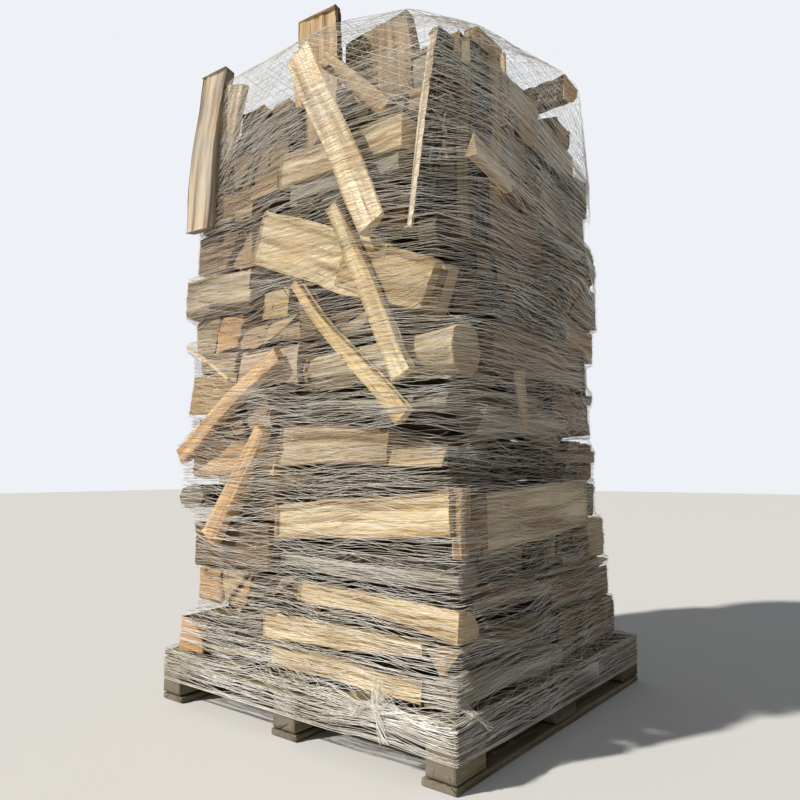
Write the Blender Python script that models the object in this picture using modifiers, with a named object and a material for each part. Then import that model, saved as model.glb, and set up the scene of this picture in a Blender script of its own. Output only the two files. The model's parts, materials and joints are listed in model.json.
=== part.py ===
"""A pallet of split firewood wound in stretch netting.

Sizes are in metres and +Z is up. The origin is on the ground under the middle of the pallet, the front
faces -Y, and the corner between +X and -Y is the near one. The pallet is built up from boards and blocks.
On it, the logs that show are single billets, and the ones behind them lie in tiers, fused tier to tier.
"""
import math
import random

import bmesh
import bpy
import numpy as np
from mathutils import Vector

# What touches keeps this much air
GAP = 0.0003

# Pallet
PALLET_SIDE = 1.000
BOARD_THICK = 0.018
BLOCK_WIDTH = 0.080
BLOCK_DEPTH = 0.115
BLOCK_HEIGHT = 0.080
BOTTOM_BOARD_WIDTH = 0.090
STRINGER_WIDTH = 0.100
DECK_BOARD_WIDTH = 0.100
DECK_BOARD_COUNT = 5
BOARD_EDGE = 0.002

BLOCK_Z = BOARD_THICK + GAP
STRINGER_Z = BLOCK_Z + BLOCK_HEIGHT + GAP
DECK_Z = STRINGER_Z + BOARD_THICK + GAP
LOAD_Z = DECK_Z + BOARD_THICK + GAP

# Billets
LOG_RINGS = 4
LOG_WAIST = 0.06
END_SLANT = 0.10
LOG_SEED = 21

# Tiers of logs behind the billets
TIER_HEIGHTS = (0.122, 0.112, 0.128, 0.108, 0.124, 0.116, 0.130, 0.110, 0.120, 0.126, 0.112, 0.124, 0.106,
                0.084)
TOP_TIER_SHARE = 0.45
TIER_REACH = 0.470
TIER_LOG_WIDTH = 0.118
TIER_SPLIT_SHARE = 0.35
TIER_OVERLAP = 0.0020
TIER_END_STEP = 0.028
TIER_END_UNIT = 0.0015
TIER_CLEARANCE = 0.004
TIER_SHORTEST = 0.120
TIER_SEED = 8
STACK_GAP = 2.4 * TIER_OVERLAP + GAP
STACK_TIERS = {"stack_lower": (0, 4), "stack_middle": (4, 9), "stack_upper": (9, 14)}

# Netting
NET_FOOT_Z = 0.056
NET_TOP_Z = 1.800
NET_RING_STEP = 0.092
NET_DIRECTIONS = 24
NET_CLEARANCE = 0.004
NET_THICK = 0.0025
EDGE_SAMPLE = 0.020

# Colours with their roughness
COLOURS = {
    "straw": ((0.62, 0.46, 0.26), 0.80),
    "tan": ((0.47, 0.33, 0.18), 0.82),
    "orange": ((0.56, 0.30, 0.11), 0.80),
    "pink": ((0.55, 0.37, 0.26), 0.80),
    "brown": ((0.24, 0.16, 0.09), 0.86),
    "grey": ((0.27, 0.25, 0.22), 0.88),
    "bark": ((0.10, 0.085, 0.07), 0.92),
    "pallet_wood": ((0.24, 0.21, 0.17), 0.88),
    "netting": ((0.78, 0.79, 0.78), 0.45),
}

# Each billet: section, quarter turns, colour, first and last point of its axis, and its size across and up
# at those two points. Across is towards the viewer on a billet that lies along the front or the side.
BILLETS = {
    "log_front_a4": ("quarter", 1, "straw", (-0.120, -0.400, 0.167), (0.378, -0.400, 0.167),
                     (0.105, 0.060), (0.105, 0.061)),
    "log_front_a3": ("half", 0, "straw", (-0.155, -0.400, 0.236), (0.378, -0.400, 0.250),
                     (0.105, 0.068), (0.105, 0.038)),
    "log_corner_a5": ("triangle", 0, "tan", (0.431, -0.460, 0.2375), (0.431, 0.040, 0.2375),
                      (0.092, 0.062), (0.092, 0.062)),
    "log_corner_a6": ("slab", 0, "grey", (0.431, -0.462, 0.167), (0.431, 0.035, 0.167),
                      (0.092, 0.061), (0.092, 0.061)),
    "log_front_a2": ("quarter", 1, "straw", (-0.016, -0.400, 0.345), (0.476, -0.400, 0.3115),
                     (0.105, 0.060), (0.105, 0.076)),
    "log_front_b1": ("round", 0, "bark", (-0.085, -0.400, 0.4145), (0.474, -0.400, 0.3995),
                     (0.105, 0.068), (0.105, 0.088)),
    "log_front_c1": ("half", 0, "straw", (-0.118, -0.400, 0.506), (0.450, -0.400, 0.547),
                     (0.105, 0.100), (0.105, 0.120)),
    "log_front_c2": ("round", 0, "bark", (-0.040, -0.400, 0.602), (0.430, -0.400, 0.625),
                     (0.100, 0.070), (0.100, 0.030)),
    "log_front_d1": ("half", 0, "tan", (-0.100, -0.400, 0.711), (0.280, -0.400, 0.697),
                     (0.105, 0.128), (0.105, 0.098)),
    "log_corner_d2": ("slab", 0, "straw", (0.368, -0.455, 0.672), (0.350, 0.040, 0.665),
                      (0.150, 0.048), (0.140, 0.034)),
    "log_front_e2": ("round", 0, "grey", (-0.020, -0.400, 0.808), (0.447, -0.400, 0.792),
                     (0.100, 0.048), (0.100, 0.050)),
    "log_front_f1": ("round", 0, "tan", (-0.020, -0.385, 0.8985), (0.462, -0.385, 0.9125),
                     (0.135, 0.120), (0.135, 0.140)),
    "log_front_g2": ("slab", 0, "straw", (0.020, -0.374, 1.205), (0.402, -0.374, 1.057),
                     (0.056, 0.140), (0.056, 0.142)),
    "log_front_g1": ("slab", 0, "tan", (-0.190, -0.428, 1.295), (0.262, -0.428, 1.112),
                     (0.050, 0.165), (0.050, 0.155)),
    "log_front_i1": ("half", 0, "tan", (-0.110, -0.400, 1.455), (0.322, -0.400, 1.455),
                     (0.105, 0.106), (0.105, 0.106)),
    "log_lean_e1": ("slab", 0, "straw", (-0.003, -0.479, 1.122), (0.352, -0.479, 0.752),
                    (0.034, 0.034), (0.036, 0.058)),
    "log_lean_h2": ("slab", 0, "straw", (0.124, -0.479, 1.302), (0.352, -0.479, 0.850),
                    (0.034, 0.050), (0.036, 0.070)),
    "log_lean_h1": ("quarter", 1, "straw", (0.000, -0.479, 1.750), (0.270, -0.479, 1.220),
                    (0.040, 0.104), (0.042, 0.094)),
    "log_lean_k8": ("slab", 0, "pink", (-0.484, -0.479, 0.686), (-0.062, -0.479, 0.944),
                    (0.034, 0.055), (0.034, 0.050)),
    "log_lean_k12": ("slab", 0, "tan", (-0.325, -0.479, 0.454), (-0.121, -0.479, 0.756),
                     (0.036, 0.072), (0.034, 0.048)),
    "log_stand_i2": ("slab", 0, "brown", (0.245, -0.306, 1.3505), (0.185, -0.300, 1.862),
                     (0.190, 0.062), (0.110, 0.058)),
    "log_stand_i3": ("quarter", 3, "bark", (0.335, -0.432, 1.200), (0.412, -0.432, 1.665),
                     (0.072, 0.078), (0.076, 0.080)),
    "log_stand_i4": ("slab", 0, "tan", (0.437, -0.310, 1.180), (0.437, -0.310, 1.685),
                     (0.040, 0.118), (0.040, 0.115)),
    "log_stand_j1": ("half", 3, "orange", (-0.025, -0.330, 1.520), (-0.025, -0.360, 1.940),
                     (0.150, 0.070), (0.165, 0.074)),
    "log_stand_k1": ("slab", 0, "straw", (-0.4365, -0.472, 1.350), (-0.4365, -0.420, 1.875),
                     (0.126, 0.046), (0.124, 0.048)),
    "log_side_i7": ("triangle", 2, "straw", (0.4755, -0.385, 1.392), (0.4755, -0.215, 1.355),
                    (0.036, 0.068), (0.034, 0.060)),
    "log_side_r2": ("half", 0, "grey", (0.435, -0.337, 0.518), (0.435, 0.200, 0.550),
                    (0.100, 0.158), (0.100, 0.126)),
    "log_side_e3": ("triangle", 0, "grey", (0.4325, -0.338, 0.753), (0.4325, 0.130, 0.753),
                    (0.112, 0.096), (0.105, 0.090)),
    "log_side_f3": ("half", 0, "brown", (0.435, -0.310, 0.932), (0.435, 0.210, 0.930),
                    (0.100, 0.136), (0.100, 0.128)),
    "log_corner_r7": ("quarter", 0, "brown", (0.419, -0.335, 1.075), (0.419, 0.150, 1.080),
                      (0.074, 0.136), (0.076, 0.140)),
    "log_side_r6": ("slab", 0, "brown", (0.479, -0.235, 1.050), (0.479, 0.200, 1.238),
                    (0.034, 0.060), (0.034, 0.056)),
    "log_top_i8": ("quarter", 2, "orange", (-0.030, 0.200, 1.745), (0.460, 0.225, 1.785),
                   (0.120, 0.084), (0.124, 0.088)),
    "log_left_k9": ("slab", 0, "straw", (-0.3845, -0.458, 0.868), (-0.335, -0.010, 0.865),
                    (0.230, 0.128), (0.190, 0.120)),
    "log_left_k14": ("round", 0, "bark", (-0.430, -0.478, 0.566), (-0.430, 0.015, 0.566),
                     (0.125, 0.078), (0.120, 0.080)),
    "log_left_k6": ("slab", 0, "straw", (-0.115, -0.452, 1.085), (-0.115, 0.050, 1.080),
                    (0.124, 0.098), (0.120, 0.096)),
    "log_left_l1": ("quarter", 0, "orange", (-0.414, -0.478, 0.187), (-0.414, 0.020, 0.187),
                    (0.105, 0.097), (0.105, 0.096)),
}

# How far each tier's log ends stand in on the left, right, front and back
TIER_INSETS = (
    (0.000, 0.010, 0.010, 0.005),
    (0.030, 0.020, 0.030, 0.015),
    (0.015, 0.035, 0.005, 0.030),
    (0.000, 0.045, 0.020, 0.050),
    (0.010, 0.040, 0.010, 0.045),
    (0.020, 0.060, 0.005, 0.060),
    (-0.010, 0.050, 0.020, 0.050),
    (-0.025, 0.040, 0.015, 0.045),
    (-0.030, 0.030, 0.005, 0.030),
    (-0.020, 0.045, 0.020, 0.045),
    (0.010, 0.060, 0.010, 0.060),
    (0.005, 0.070, 0.040, 0.050),
    (0.015, 0.075, 0.080, 0.045),
    (0.060, 0.090, 0.120, 0.055),
)


def clear_scene():
    """Remove every object that the file opened with."""
    for item in list(bpy.data.objects):
        bpy.data.objects.remove(item, do_unlink=True)


def new_collection(name):
    """Make a collection in the scene."""
    collection = bpy.data.collections.new(name)
    bpy.context.scene.collection.children.link(collection)
    return collection


def wood_material(name, colour_name):
    """Make a plain material from the named colour."""
    colour, roughness = COLOURS[colour_name]
    material = bpy.data.materials.new(name)
    material.use_nodes = True
    shader = material.node_tree.nodes["Principled BSDF"]
    shader.inputs["Base Color"].default_value = (*colour, 1.0)
    shader.inputs["Roughness"].default_value = roughness
    shader.inputs["Metallic"].default_value = 0.0
    return material


def add_mesh_object(name, shape, colour_name, collection):
    """Turn a bmesh into a named object with its own material."""
    bmesh.ops.recalc_face_normals(shape, faces=shape.faces)
    if shape.calc_volume(signed=True) < 0:
        bmesh.ops.reverse_faces(shape, faces=shape.faces)
    mesh = bpy.data.meshes.new(name)
    shape.to_mesh(mesh)
    shape.free()
    item = bpy.data.objects.new(name, mesh)
    mesh.materials.append(wood_material(name, colour_name))
    collection.objects.link(item)
    return item


def add_board(name, size, centre, collection):
    """Add one sawn board or block of the pallet, with its edges worn off."""
    shape = bmesh.new()
    bmesh.ops.create_cube(shape, size=1.0)
    bmesh.ops.scale(shape, vec=size, verts=shape.verts)
    bmesh.ops.translate(shape, vec=centre, verts=shape.verts)
    item = add_mesh_object(name, shape, "pallet_wood", collection)
    worn = item.modifiers.new("worn edges", "BEVEL")
    worn.width = BOARD_EDGE
    worn.segments = 1
    worn.limit_method = "ANGLE"
    return item


def spread(count, width):
    """Return the middles of count things of this width, set out evenly over the pallet's side."""
    last = (PALLET_SIDE - width) / 2
    return [-last + 2 * last * place / (count - 1) for place in range(count)]


def add_pallet(collection):
    """Build the pallet from its bottom boards, blocks, stringer boards and deck boards."""
    columns = spread(3, BLOCK_WIDTH)
    rows = spread(3, BLOCK_DEPTH)
    side_names = ("left", "middle", "right")
    row_names = ("front", "centre", "back")
    for side, x in zip(side_names, spread(3, BOTTOM_BOARD_WIDTH)):
        size = (BOTTOM_BOARD_WIDTH, PALLET_SIDE, BOARD_THICK)
        add_board("bottom_board_" + side, size, (x, 0, BOARD_THICK / 2), collection)
    for side, x in zip(side_names, columns):
        for row, y in zip(row_names, rows):
            size = (BLOCK_WIDTH, BLOCK_DEPTH, BLOCK_HEIGHT)
            centre = (x, y, BLOCK_Z + BLOCK_HEIGHT / 2)
            add_board(f"block_{row}_{side}", size, centre, collection)
    for row, y in zip(row_names, spread(3, STRINGER_WIDTH)):
        size = (PALLET_SIDE, STRINGER_WIDTH, BOARD_THICK)
        add_board("stringer_board_" + row, size, (0, y, STRINGER_Z + BOARD_THICK / 2), collection)
    for number, x in enumerate(spread(DECK_BOARD_COUNT, DECK_BOARD_WIDTH), start=1):
        size = (DECK_BOARD_WIDTH, PALLET_SIDE, BOARD_THICK)
        add_board(f"deck_board_{number}", size, (x, 0, DECK_Z + BOARD_THICK / 2), collection)


def arc(centre, radii, first, last, steps):
    """Return points on an ellipse's arc, its angles in degrees."""
    points = []
    for step in range(steps + 1):
        angle = math.radians(first + (last - first) * step / steps)
        points.append((centre[0] + radii[0] * math.cos(angle), centre[1] + radii[1] * math.sin(angle)))
    return points


def section_outline(kind, turns):
    """Return a log's section in a square of side 1: across is towards the viewer, up is up."""
    if kind == "slab":
        points = [(-0.50, -0.44), (0.44, -0.50), (0.50, 0.40), (0.34, 0.50), (-0.44, 0.46)]
    elif kind == "triangle":
        points = [(-0.50, 0.42), (-0.06, -0.50), (0.06, -0.50), (0.50, 0.40), (0.42, 0.50), (-0.40, 0.50)]
    elif kind == "quarter":
        points = [(-0.50, -0.50)] + arc((-0.50, -0.50), (1.0, 1.0), 0, 90, 4)
    elif kind == "half":
        points = arc((0.50, 0.0), (1.0, 0.50), 90, 270, 6)
    else:
        points = arc((0.0, 0.0), (0.50, 0.50), 0, 324, 9)
    for _ in range(turns):
        points = [(-up, across) for across, up in points]
    return points


def log_frame(start, end):
    """Return the directions along, across and up of a log between two points."""
    along = (end - start).normalized()
    reference = Vector((0, 0, 1)) if abs(along.z) < 0.95 else Vector((0, 1, 0))
    up = (reference - along * reference.dot(along)).normalized()
    return along, along.cross(up), up


def log_shape(outline, start, end, start_size, end_size, rings, chance):
    """Extrude a section from ring to ring, with a waist and slanting cuts that stay inside its size."""
    start = Vector(start)
    end = Vector(end)
    along, across, up = log_frame(start, end)
    length = (end - start).length
    shape = bmesh.new()
    corners = [shape.verts.new((point[0], point[1], 0.0)) for point in outline]
    face = shape.faces.new(corners)
    for ring in range(1, rings):
        grown = bmesh.ops.extrude_face_region(shape, geom=[face])["geom"]
        moved = [part for part in grown if isinstance(part, bmesh.types.BMVert)]
        bmesh.ops.translate(shape, vec=(0, 0, 1), verts=moved)
        if ring > 1:
            bmesh.ops.delete(shape, geom=[face], context="FACES_ONLY")
        face = next(part for part in grown if isinstance(part, bmesh.types.BMFace))
    waists = [1.0 - LOG_WAIST * chance.random() for _ in range(rings)]
    slants = [END_SLANT * chance.random() for _ in range(4)]
    for vert in shape.verts:
        ring = round(vert.co.z)
        share = ring / (rings - 1)
        width = (start_size[0] + (end_size[0] - start_size[0]) * share) * waists[ring]
        height = (start_size[1] + (end_size[1] - start_size[1]) * share) * waists[ring]
        reach = share * length
        if ring == 0:
            reach += (slants[0] * (vert.co.x + 0.5) + slants[1] * (vert.co.y + 0.5)) * width
        elif ring == rings - 1:
            reach -= (slants[2] * (0.5 - vert.co.x) + slants[3] * (0.5 - vert.co.y)) * width
        vert.co = start + along * reach + across * (vert.co.x * width) + up * (vert.co.y * height)
    return shape


def add_billets(collection):
    """Add every billet that shows by itself."""
    chance = random.Random(LOG_SEED)
    for name, (kind, turns, colour, start, end, start_size, end_size) in BILLETS.items():
        outline = section_outline(kind, turns)
        shape = log_shape(outline, start, end, start_size, end_size, LOG_RINGS, chance)
        add_mesh_object(name, shape, colour, collection)


def billet_boxes(pieces=10):
    """Return boxes that hold each billet, short stretch by short stretch."""
    boxes = []
    for _, _, _, start, end, start_size, end_size in BILLETS.values():
        start = Vector(start)
        end = Vector(end)
        _, across, up = log_frame(start, end)
        corners = []
        for place in range(pieces + 1):
            share = place / pieces
            middle = start.lerp(end, share)
            half_width = (start_size[0] + (end_size[0] - start_size[0]) * share) / 2
            half_height = (start_size[1] + (end_size[1] - start_size[1]) * share) / 2
            corners.append([middle + across * (a * half_width) + up * (b * half_height)
                            for a in (-1, 1) for b in (-1, 1)])
        for first, second in zip(corners, corners[1:]):
            points = np.array([tuple(point) for point in first + second])
            boxes.append((points.min(axis=0), points.max(axis=0)))
    return boxes


def free_stretch(low, high, axis, boxes):
    """Return the longest stretch of a box, along one axis, that keeps clear of the other boxes."""
    others = [number for number in range(3) if number != axis]
    taken = []
    for box_low, box_high in boxes:
        if all(box_low[n] - TIER_CLEARANCE < high[n] and box_high[n] + TIER_CLEARANCE > low[n] for n in others):
            taken.append((box_low[axis] - TIER_CLEARANCE, box_high[axis] + TIER_CLEARANCE))
    best = (low[axis], low[axis])
    reached = low[axis]
    for first, last in sorted(taken) + [(high[axis], high[axis])]:
        stop = min(first, high[axis])
        if stop - reached > best[1] - best[0]:
            best = (reached, stop)
        reached = max(reached, last)
    return best


def tier_sections(chance):
    """Return the sections of one tier's logs: shares of its width at their foot and top, and their split."""
    count = round(2 * TIER_REACH / TIER_LOG_WIDTH)
    shift = 0.28 / count
    foot = [0.0] + [n / count + chance.uniform(-shift, shift) for n in range(1, count)] + [1.0]
    top = [0.0] + [n / count + chance.uniform(-shift, shift) for n in range(1, count)] + [1.0]
    sections = []
    for n in range(count):
        corners = [(foot[n], 0), (foot[n + 1], 0), (top[n + 1], 1), (top[n], 1)]
        if chance.random() < TIER_SPLIT_SHARE:
            sections.append(corners[:3])
            sections.append([corners[0]] + corners[2:])
        else:
            sections.append(corners)
    return sections


def grow(points, amount):
    """Push every side of a convex outline outwards by an amount."""
    middle = Vector((sum(p[0] for p in points) / len(points), sum(p[1] for p in points) / len(points)))
    lines = []
    for first, second in zip(points, points[1:] + points[:1]):
        side = Vector(second) - Vector(first)
        normal = Vector((side.y, -side.x)).normalized()
        if normal.dot(Vector(first) - middle) < 0:
            normal.negate()
        lines.append((normal, normal.dot(Vector(first)) + amount))
    grown = []
    for (normal_a, reach_a), (normal_b, reach_b) in zip([lines[-1]] + lines[:-1], lines):
        across = normal_a.x * normal_b.y - normal_a.y * normal_b.x
        x = (reach_a * normal_b.y - reach_b * normal_a.y) / across
        y = (reach_b * normal_a.x - reach_a * normal_b.x) / across
        grown.append((x, y))
    return grown


def tier_logs():
    """Lay out the logs behind the billets, tier by tier, and return them as outlines and ends."""
    chance = random.Random(TIER_SEED)
    boxes = billet_boxes()
    stack_starts = [first for first, _ in STACK_TIERS.values()]
    tiers = []
    floor = LOAD_Z + 2 * GAP + TIER_OVERLAP
    for number, (height, insets) in enumerate(zip(TIER_HEIGHTS, TIER_INSETS)):
        left, right, front, back = insets
        edges = ((-TIER_REACH + left, TIER_REACH - right), (-TIER_REACH + front, TIER_REACH - back))
        axis = number % 2
        across_low, across_high = edges[1 - axis]
        logs = []
        for place, section in enumerate(tier_sections(chance)):
            outline = [(across_low + share * (across_high - across_low), floor + level * height)
                       for share, level in section]
            amount = TIER_OVERLAP * (0.8 if place % 2 else 1.2)
            outline = [(round(across, 5), round(min(max(up, floor - amount), floor + height + amount), 5))
                       for across, up in grow(outline, amount)]
            join = chance.uniform(-0.07, 0.07)
            low_end = edges[axis][0] + TIER_END_STEP * chance.random()
            high_end = edges[axis][1] - TIER_END_STEP * chance.random()
            for first, last in ((low_end, join + TIER_OVERLAP), (join - TIER_OVERLAP, high_end)):
                low = [min(p[0] for p in outline)] * 2 + [min(p[1] for p in outline)]
                high = [max(p[0] for p in outline)] * 2 + [max(p[1] for p in outline)]
                low[axis], high[axis] = first, last
                begin, finish = free_stretch(low, high, axis, boxes)
                begin = math.ceil(begin / TIER_END_UNIT) * TIER_END_UNIT
                finish = math.floor(finish / TIER_END_UNIT) * TIER_END_UNIT
                thrown_on = number < len(TIER_HEIGHTS) - 1 or chance.random() < TOP_TIER_SHARE
                if thrown_on and finish - begin > TIER_SHORTEST:
                    logs.append((axis, outline, begin, finish))
        tiers.append(logs)
        floor += height
        if number + 1 in stack_starts:
            floor += STACK_GAP
    return tiers


def tier_log_shape(axis, outline, begin, finish):
    """Make one log of a tier as a prism along X or Y."""
    shape = bmesh.new()
    ends = []
    for across, up in outline:
        ends.append(shape.verts.new((begin, across, up) if axis == 0 else (across, begin, up)))
    face = shape.faces.new(ends)
    grown = bmesh.ops.extrude_face_region(shape, geom=[face])["geom"]
    moved = [part for part in grown if isinstance(part, bmesh.types.BMVert)]
    step = (finish - begin, 0, 0) if axis == 0 else (0, finish - begin, 0)
    bmesh.ops.translate(shape, vec=step, verts=moved)
    return shape


def add_stack(name, tiers, collection, cutters):
    """Fuse the logs of some tiers into one solid."""
    shapes = [tier_log_shape(*log) for tier in tiers for log in tier]
    group = bpy.data.collections.new(name + "_logs")
    cutters.children.link(group)
    for number, shape in enumerate(shapes[1:], start=2):
        item = add_mesh_object(f"{name}_log_{number}", shape, "brown", group)
        item.hide_render = True
        item.display_type = "WIRE"
    stack = add_mesh_object(name, shapes[0], "brown", collection)
    fuse = stack.modifiers.new("fuse logs", "BOOLEAN")
    fuse.operation = "UNION"
    fuse.operand_type = "COLLECTION"
    fuse.collection = group
    fuse.solver = "EXACT"
    return stack


def edge_points(collection):
    """Return points along every edge of the built pieces."""
    bpy.context.view_layer.update()
    depsgraph = bpy.context.evaluated_depsgraph_get()
    points = []
    for item in collection.objects:
        solid = item.evaluated_get(depsgraph)
        mesh = solid.to_mesh()
        for edge in mesh.edges:
            first, second = (solid.matrix_world @ mesh.vertices[n].co for n in edge.vertices)
            steps = max(1, math.ceil((second - first).length / EDGE_SAMPLE))
            points.extend(tuple(first.lerp(second, step / steps)) for step in range(steps + 1))
        solid.to_mesh_clear()
    return np.array(points)


def net_levels():
    """Return the heights of the netting's rings: its foot, the pallet's top, and evenly up the load."""
    first = LOAD_Z + 0.001
    count = round((NET_TOP_Z - first) / NET_RING_STEP)
    return [NET_FOOT_Z] + [first + (NET_TOP_Z - first) * step / count for step in range(count + 1)]


def net_ring(points, margin):
    """Return the corners of a tight many-sided outline around points seen from above."""
    angles = [math.tau * n / NET_DIRECTIONS for n in range(NET_DIRECTIONS)]
    reaches = [float((points[:, 0] * math.cos(a) + points[:, 1] * math.sin(a)).max()) + margin for a in angles]
    corners = []
    for n, angle in enumerate(angles):
        other = (n + 1) % NET_DIRECTIONS
        turn = math.sin(angles[other] - angle)
        x = (reaches[n] * math.sin(angles[other]) - reaches[other] * math.sin(angle)) / turn
        y = (reaches[other] * math.cos(angle) - reaches[n] * math.cos(angles[other])) / turn
        corners.append((x, y))
    return corners


def add_net(collection):
    """Loft the netting as a thin skin, ring by ring, around the pallet and the load."""
    points = edge_points(collection)
    levels = net_levels()
    walls = []
    for margin in (NET_CLEARANCE, NET_CLEARANCE + NET_THICK):
        rings = []
        for number, level in enumerate(levels):
            low = 0.0 if number < 2 else levels[number - 1]
            high = LOAD_Z if number < 1 else levels[min(number + 1, len(levels) - 1)]
            inside = points[(points[:, 2] >= low) & (points[:, 2] <= high)]
            rings.append([(x, y, level) for x, y in net_ring(inside, margin)])
        walls.append(rings)
    shape = bmesh.new()
    inner, outer = [[[shape.verts.new(point) for point in ring] for ring in rings] for rings in walls]
    count = NET_DIRECTIONS
    for n in range(count):
        m = (n + 1) % count
        for rings in (inner, outer):
            for lower, upper in zip(rings, rings[1:]):
                shape.faces.new((lower[n], lower[m], upper[m], upper[n]))
        for level in (0, -1):
            shape.faces.new((inner[level][n], inner[level][m], outer[level][m], outer[level][n]))
    return add_mesh_object("net_wrap", shape, "netting", collection)


def build():
    """Build the pallet, its load and the netting."""
    clear_scene()
    parts = new_collection("pallet_of_firewood")
    cutters = new_collection("cutters")
    add_pallet(parts)
    add_billets(parts)
    tiers = tier_logs()
    for name, (first, last) in STACK_TIERS.items():
        add_stack(name, tiers[first:last], parts, cutters)
    add_net(parts)


build()
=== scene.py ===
"""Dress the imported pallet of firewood: split and barked logs, a weathered pallet and wound netting.

Sizes are in metres. The frame's CAD nodes give the place and size of each board and log. This script slices
them finer, roughens them along the grain, lays out the logs behind them, adds loose sticks, and knits the
netting round the load.
"""
import json
import math
import random

import bmesh
import bpy
import numpy as np
from mathutils import Matrix, Vector, noise

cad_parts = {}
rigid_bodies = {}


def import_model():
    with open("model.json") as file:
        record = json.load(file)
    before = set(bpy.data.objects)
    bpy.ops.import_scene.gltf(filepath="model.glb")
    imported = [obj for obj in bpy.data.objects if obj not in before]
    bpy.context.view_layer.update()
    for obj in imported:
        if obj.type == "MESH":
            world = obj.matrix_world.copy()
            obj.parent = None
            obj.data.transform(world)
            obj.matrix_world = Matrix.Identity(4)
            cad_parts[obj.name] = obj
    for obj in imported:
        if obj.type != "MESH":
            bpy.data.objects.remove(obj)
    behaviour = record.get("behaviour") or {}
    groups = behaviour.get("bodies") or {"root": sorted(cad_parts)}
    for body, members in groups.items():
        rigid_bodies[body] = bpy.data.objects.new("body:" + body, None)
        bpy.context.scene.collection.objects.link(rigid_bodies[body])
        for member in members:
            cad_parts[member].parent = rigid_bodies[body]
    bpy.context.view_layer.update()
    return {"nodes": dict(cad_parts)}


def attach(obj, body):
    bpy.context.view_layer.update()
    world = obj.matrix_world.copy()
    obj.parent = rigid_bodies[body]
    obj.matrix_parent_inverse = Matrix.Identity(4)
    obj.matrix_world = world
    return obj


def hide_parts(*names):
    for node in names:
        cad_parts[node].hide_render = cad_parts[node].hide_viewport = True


bl_info = {
    "name": "Pallet of Firewood",
    "version": (1, 0, 0),
    "blender": (4, 5, 0),
    "location": "3D View > Sidebar > Firewood",
    "description": "Splits, roughens, stacks and nets a pallet of firewood",
    "category": "Object",
}

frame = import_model()
NODES = frame["nodes"]

# Pallet nodes
PALLET_BOARDS = [name for name in NODES if "_board_" in name]
PALLET_BLOCKS = [name for name in NODES if name.startswith("block_")]

# Colours of fresh and weathered wood
WOOD_TONES = {
    "straw": (0.63, 0.52, 0.32),
    "yellow": (0.63, 0.49, 0.25),
    "pale": (0.77, 0.67, 0.49),
    "tan": (0.48, 0.36, 0.22),
    "orange": (0.61, 0.40, 0.20),
    "pink": (0.60, 0.43, 0.30),
    "ochre": (0.42, 0.32, 0.17),
    "umber": (0.31, 0.22, 0.13),
    "brown": (0.24, 0.16, 0.10),
    "olive": (0.26, 0.20, 0.10),
    "grey": (0.24, 0.22, 0.18),
    "dark": (0.08, 0.06, 0.04),
    "pallet": (0.19, 0.16, 0.105),
}

# Materials of a piece of wood, and which of them each kind of face takes
WOOD_MATERIALS = ("split_wood", "bark", "end_grain")
TIMBER_MATERIALS = ("pallet_wood", "bark", "end_grain")
SPLIT_FACE, BARK_FACE, END_FACE = 0, 1, 2

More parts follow.
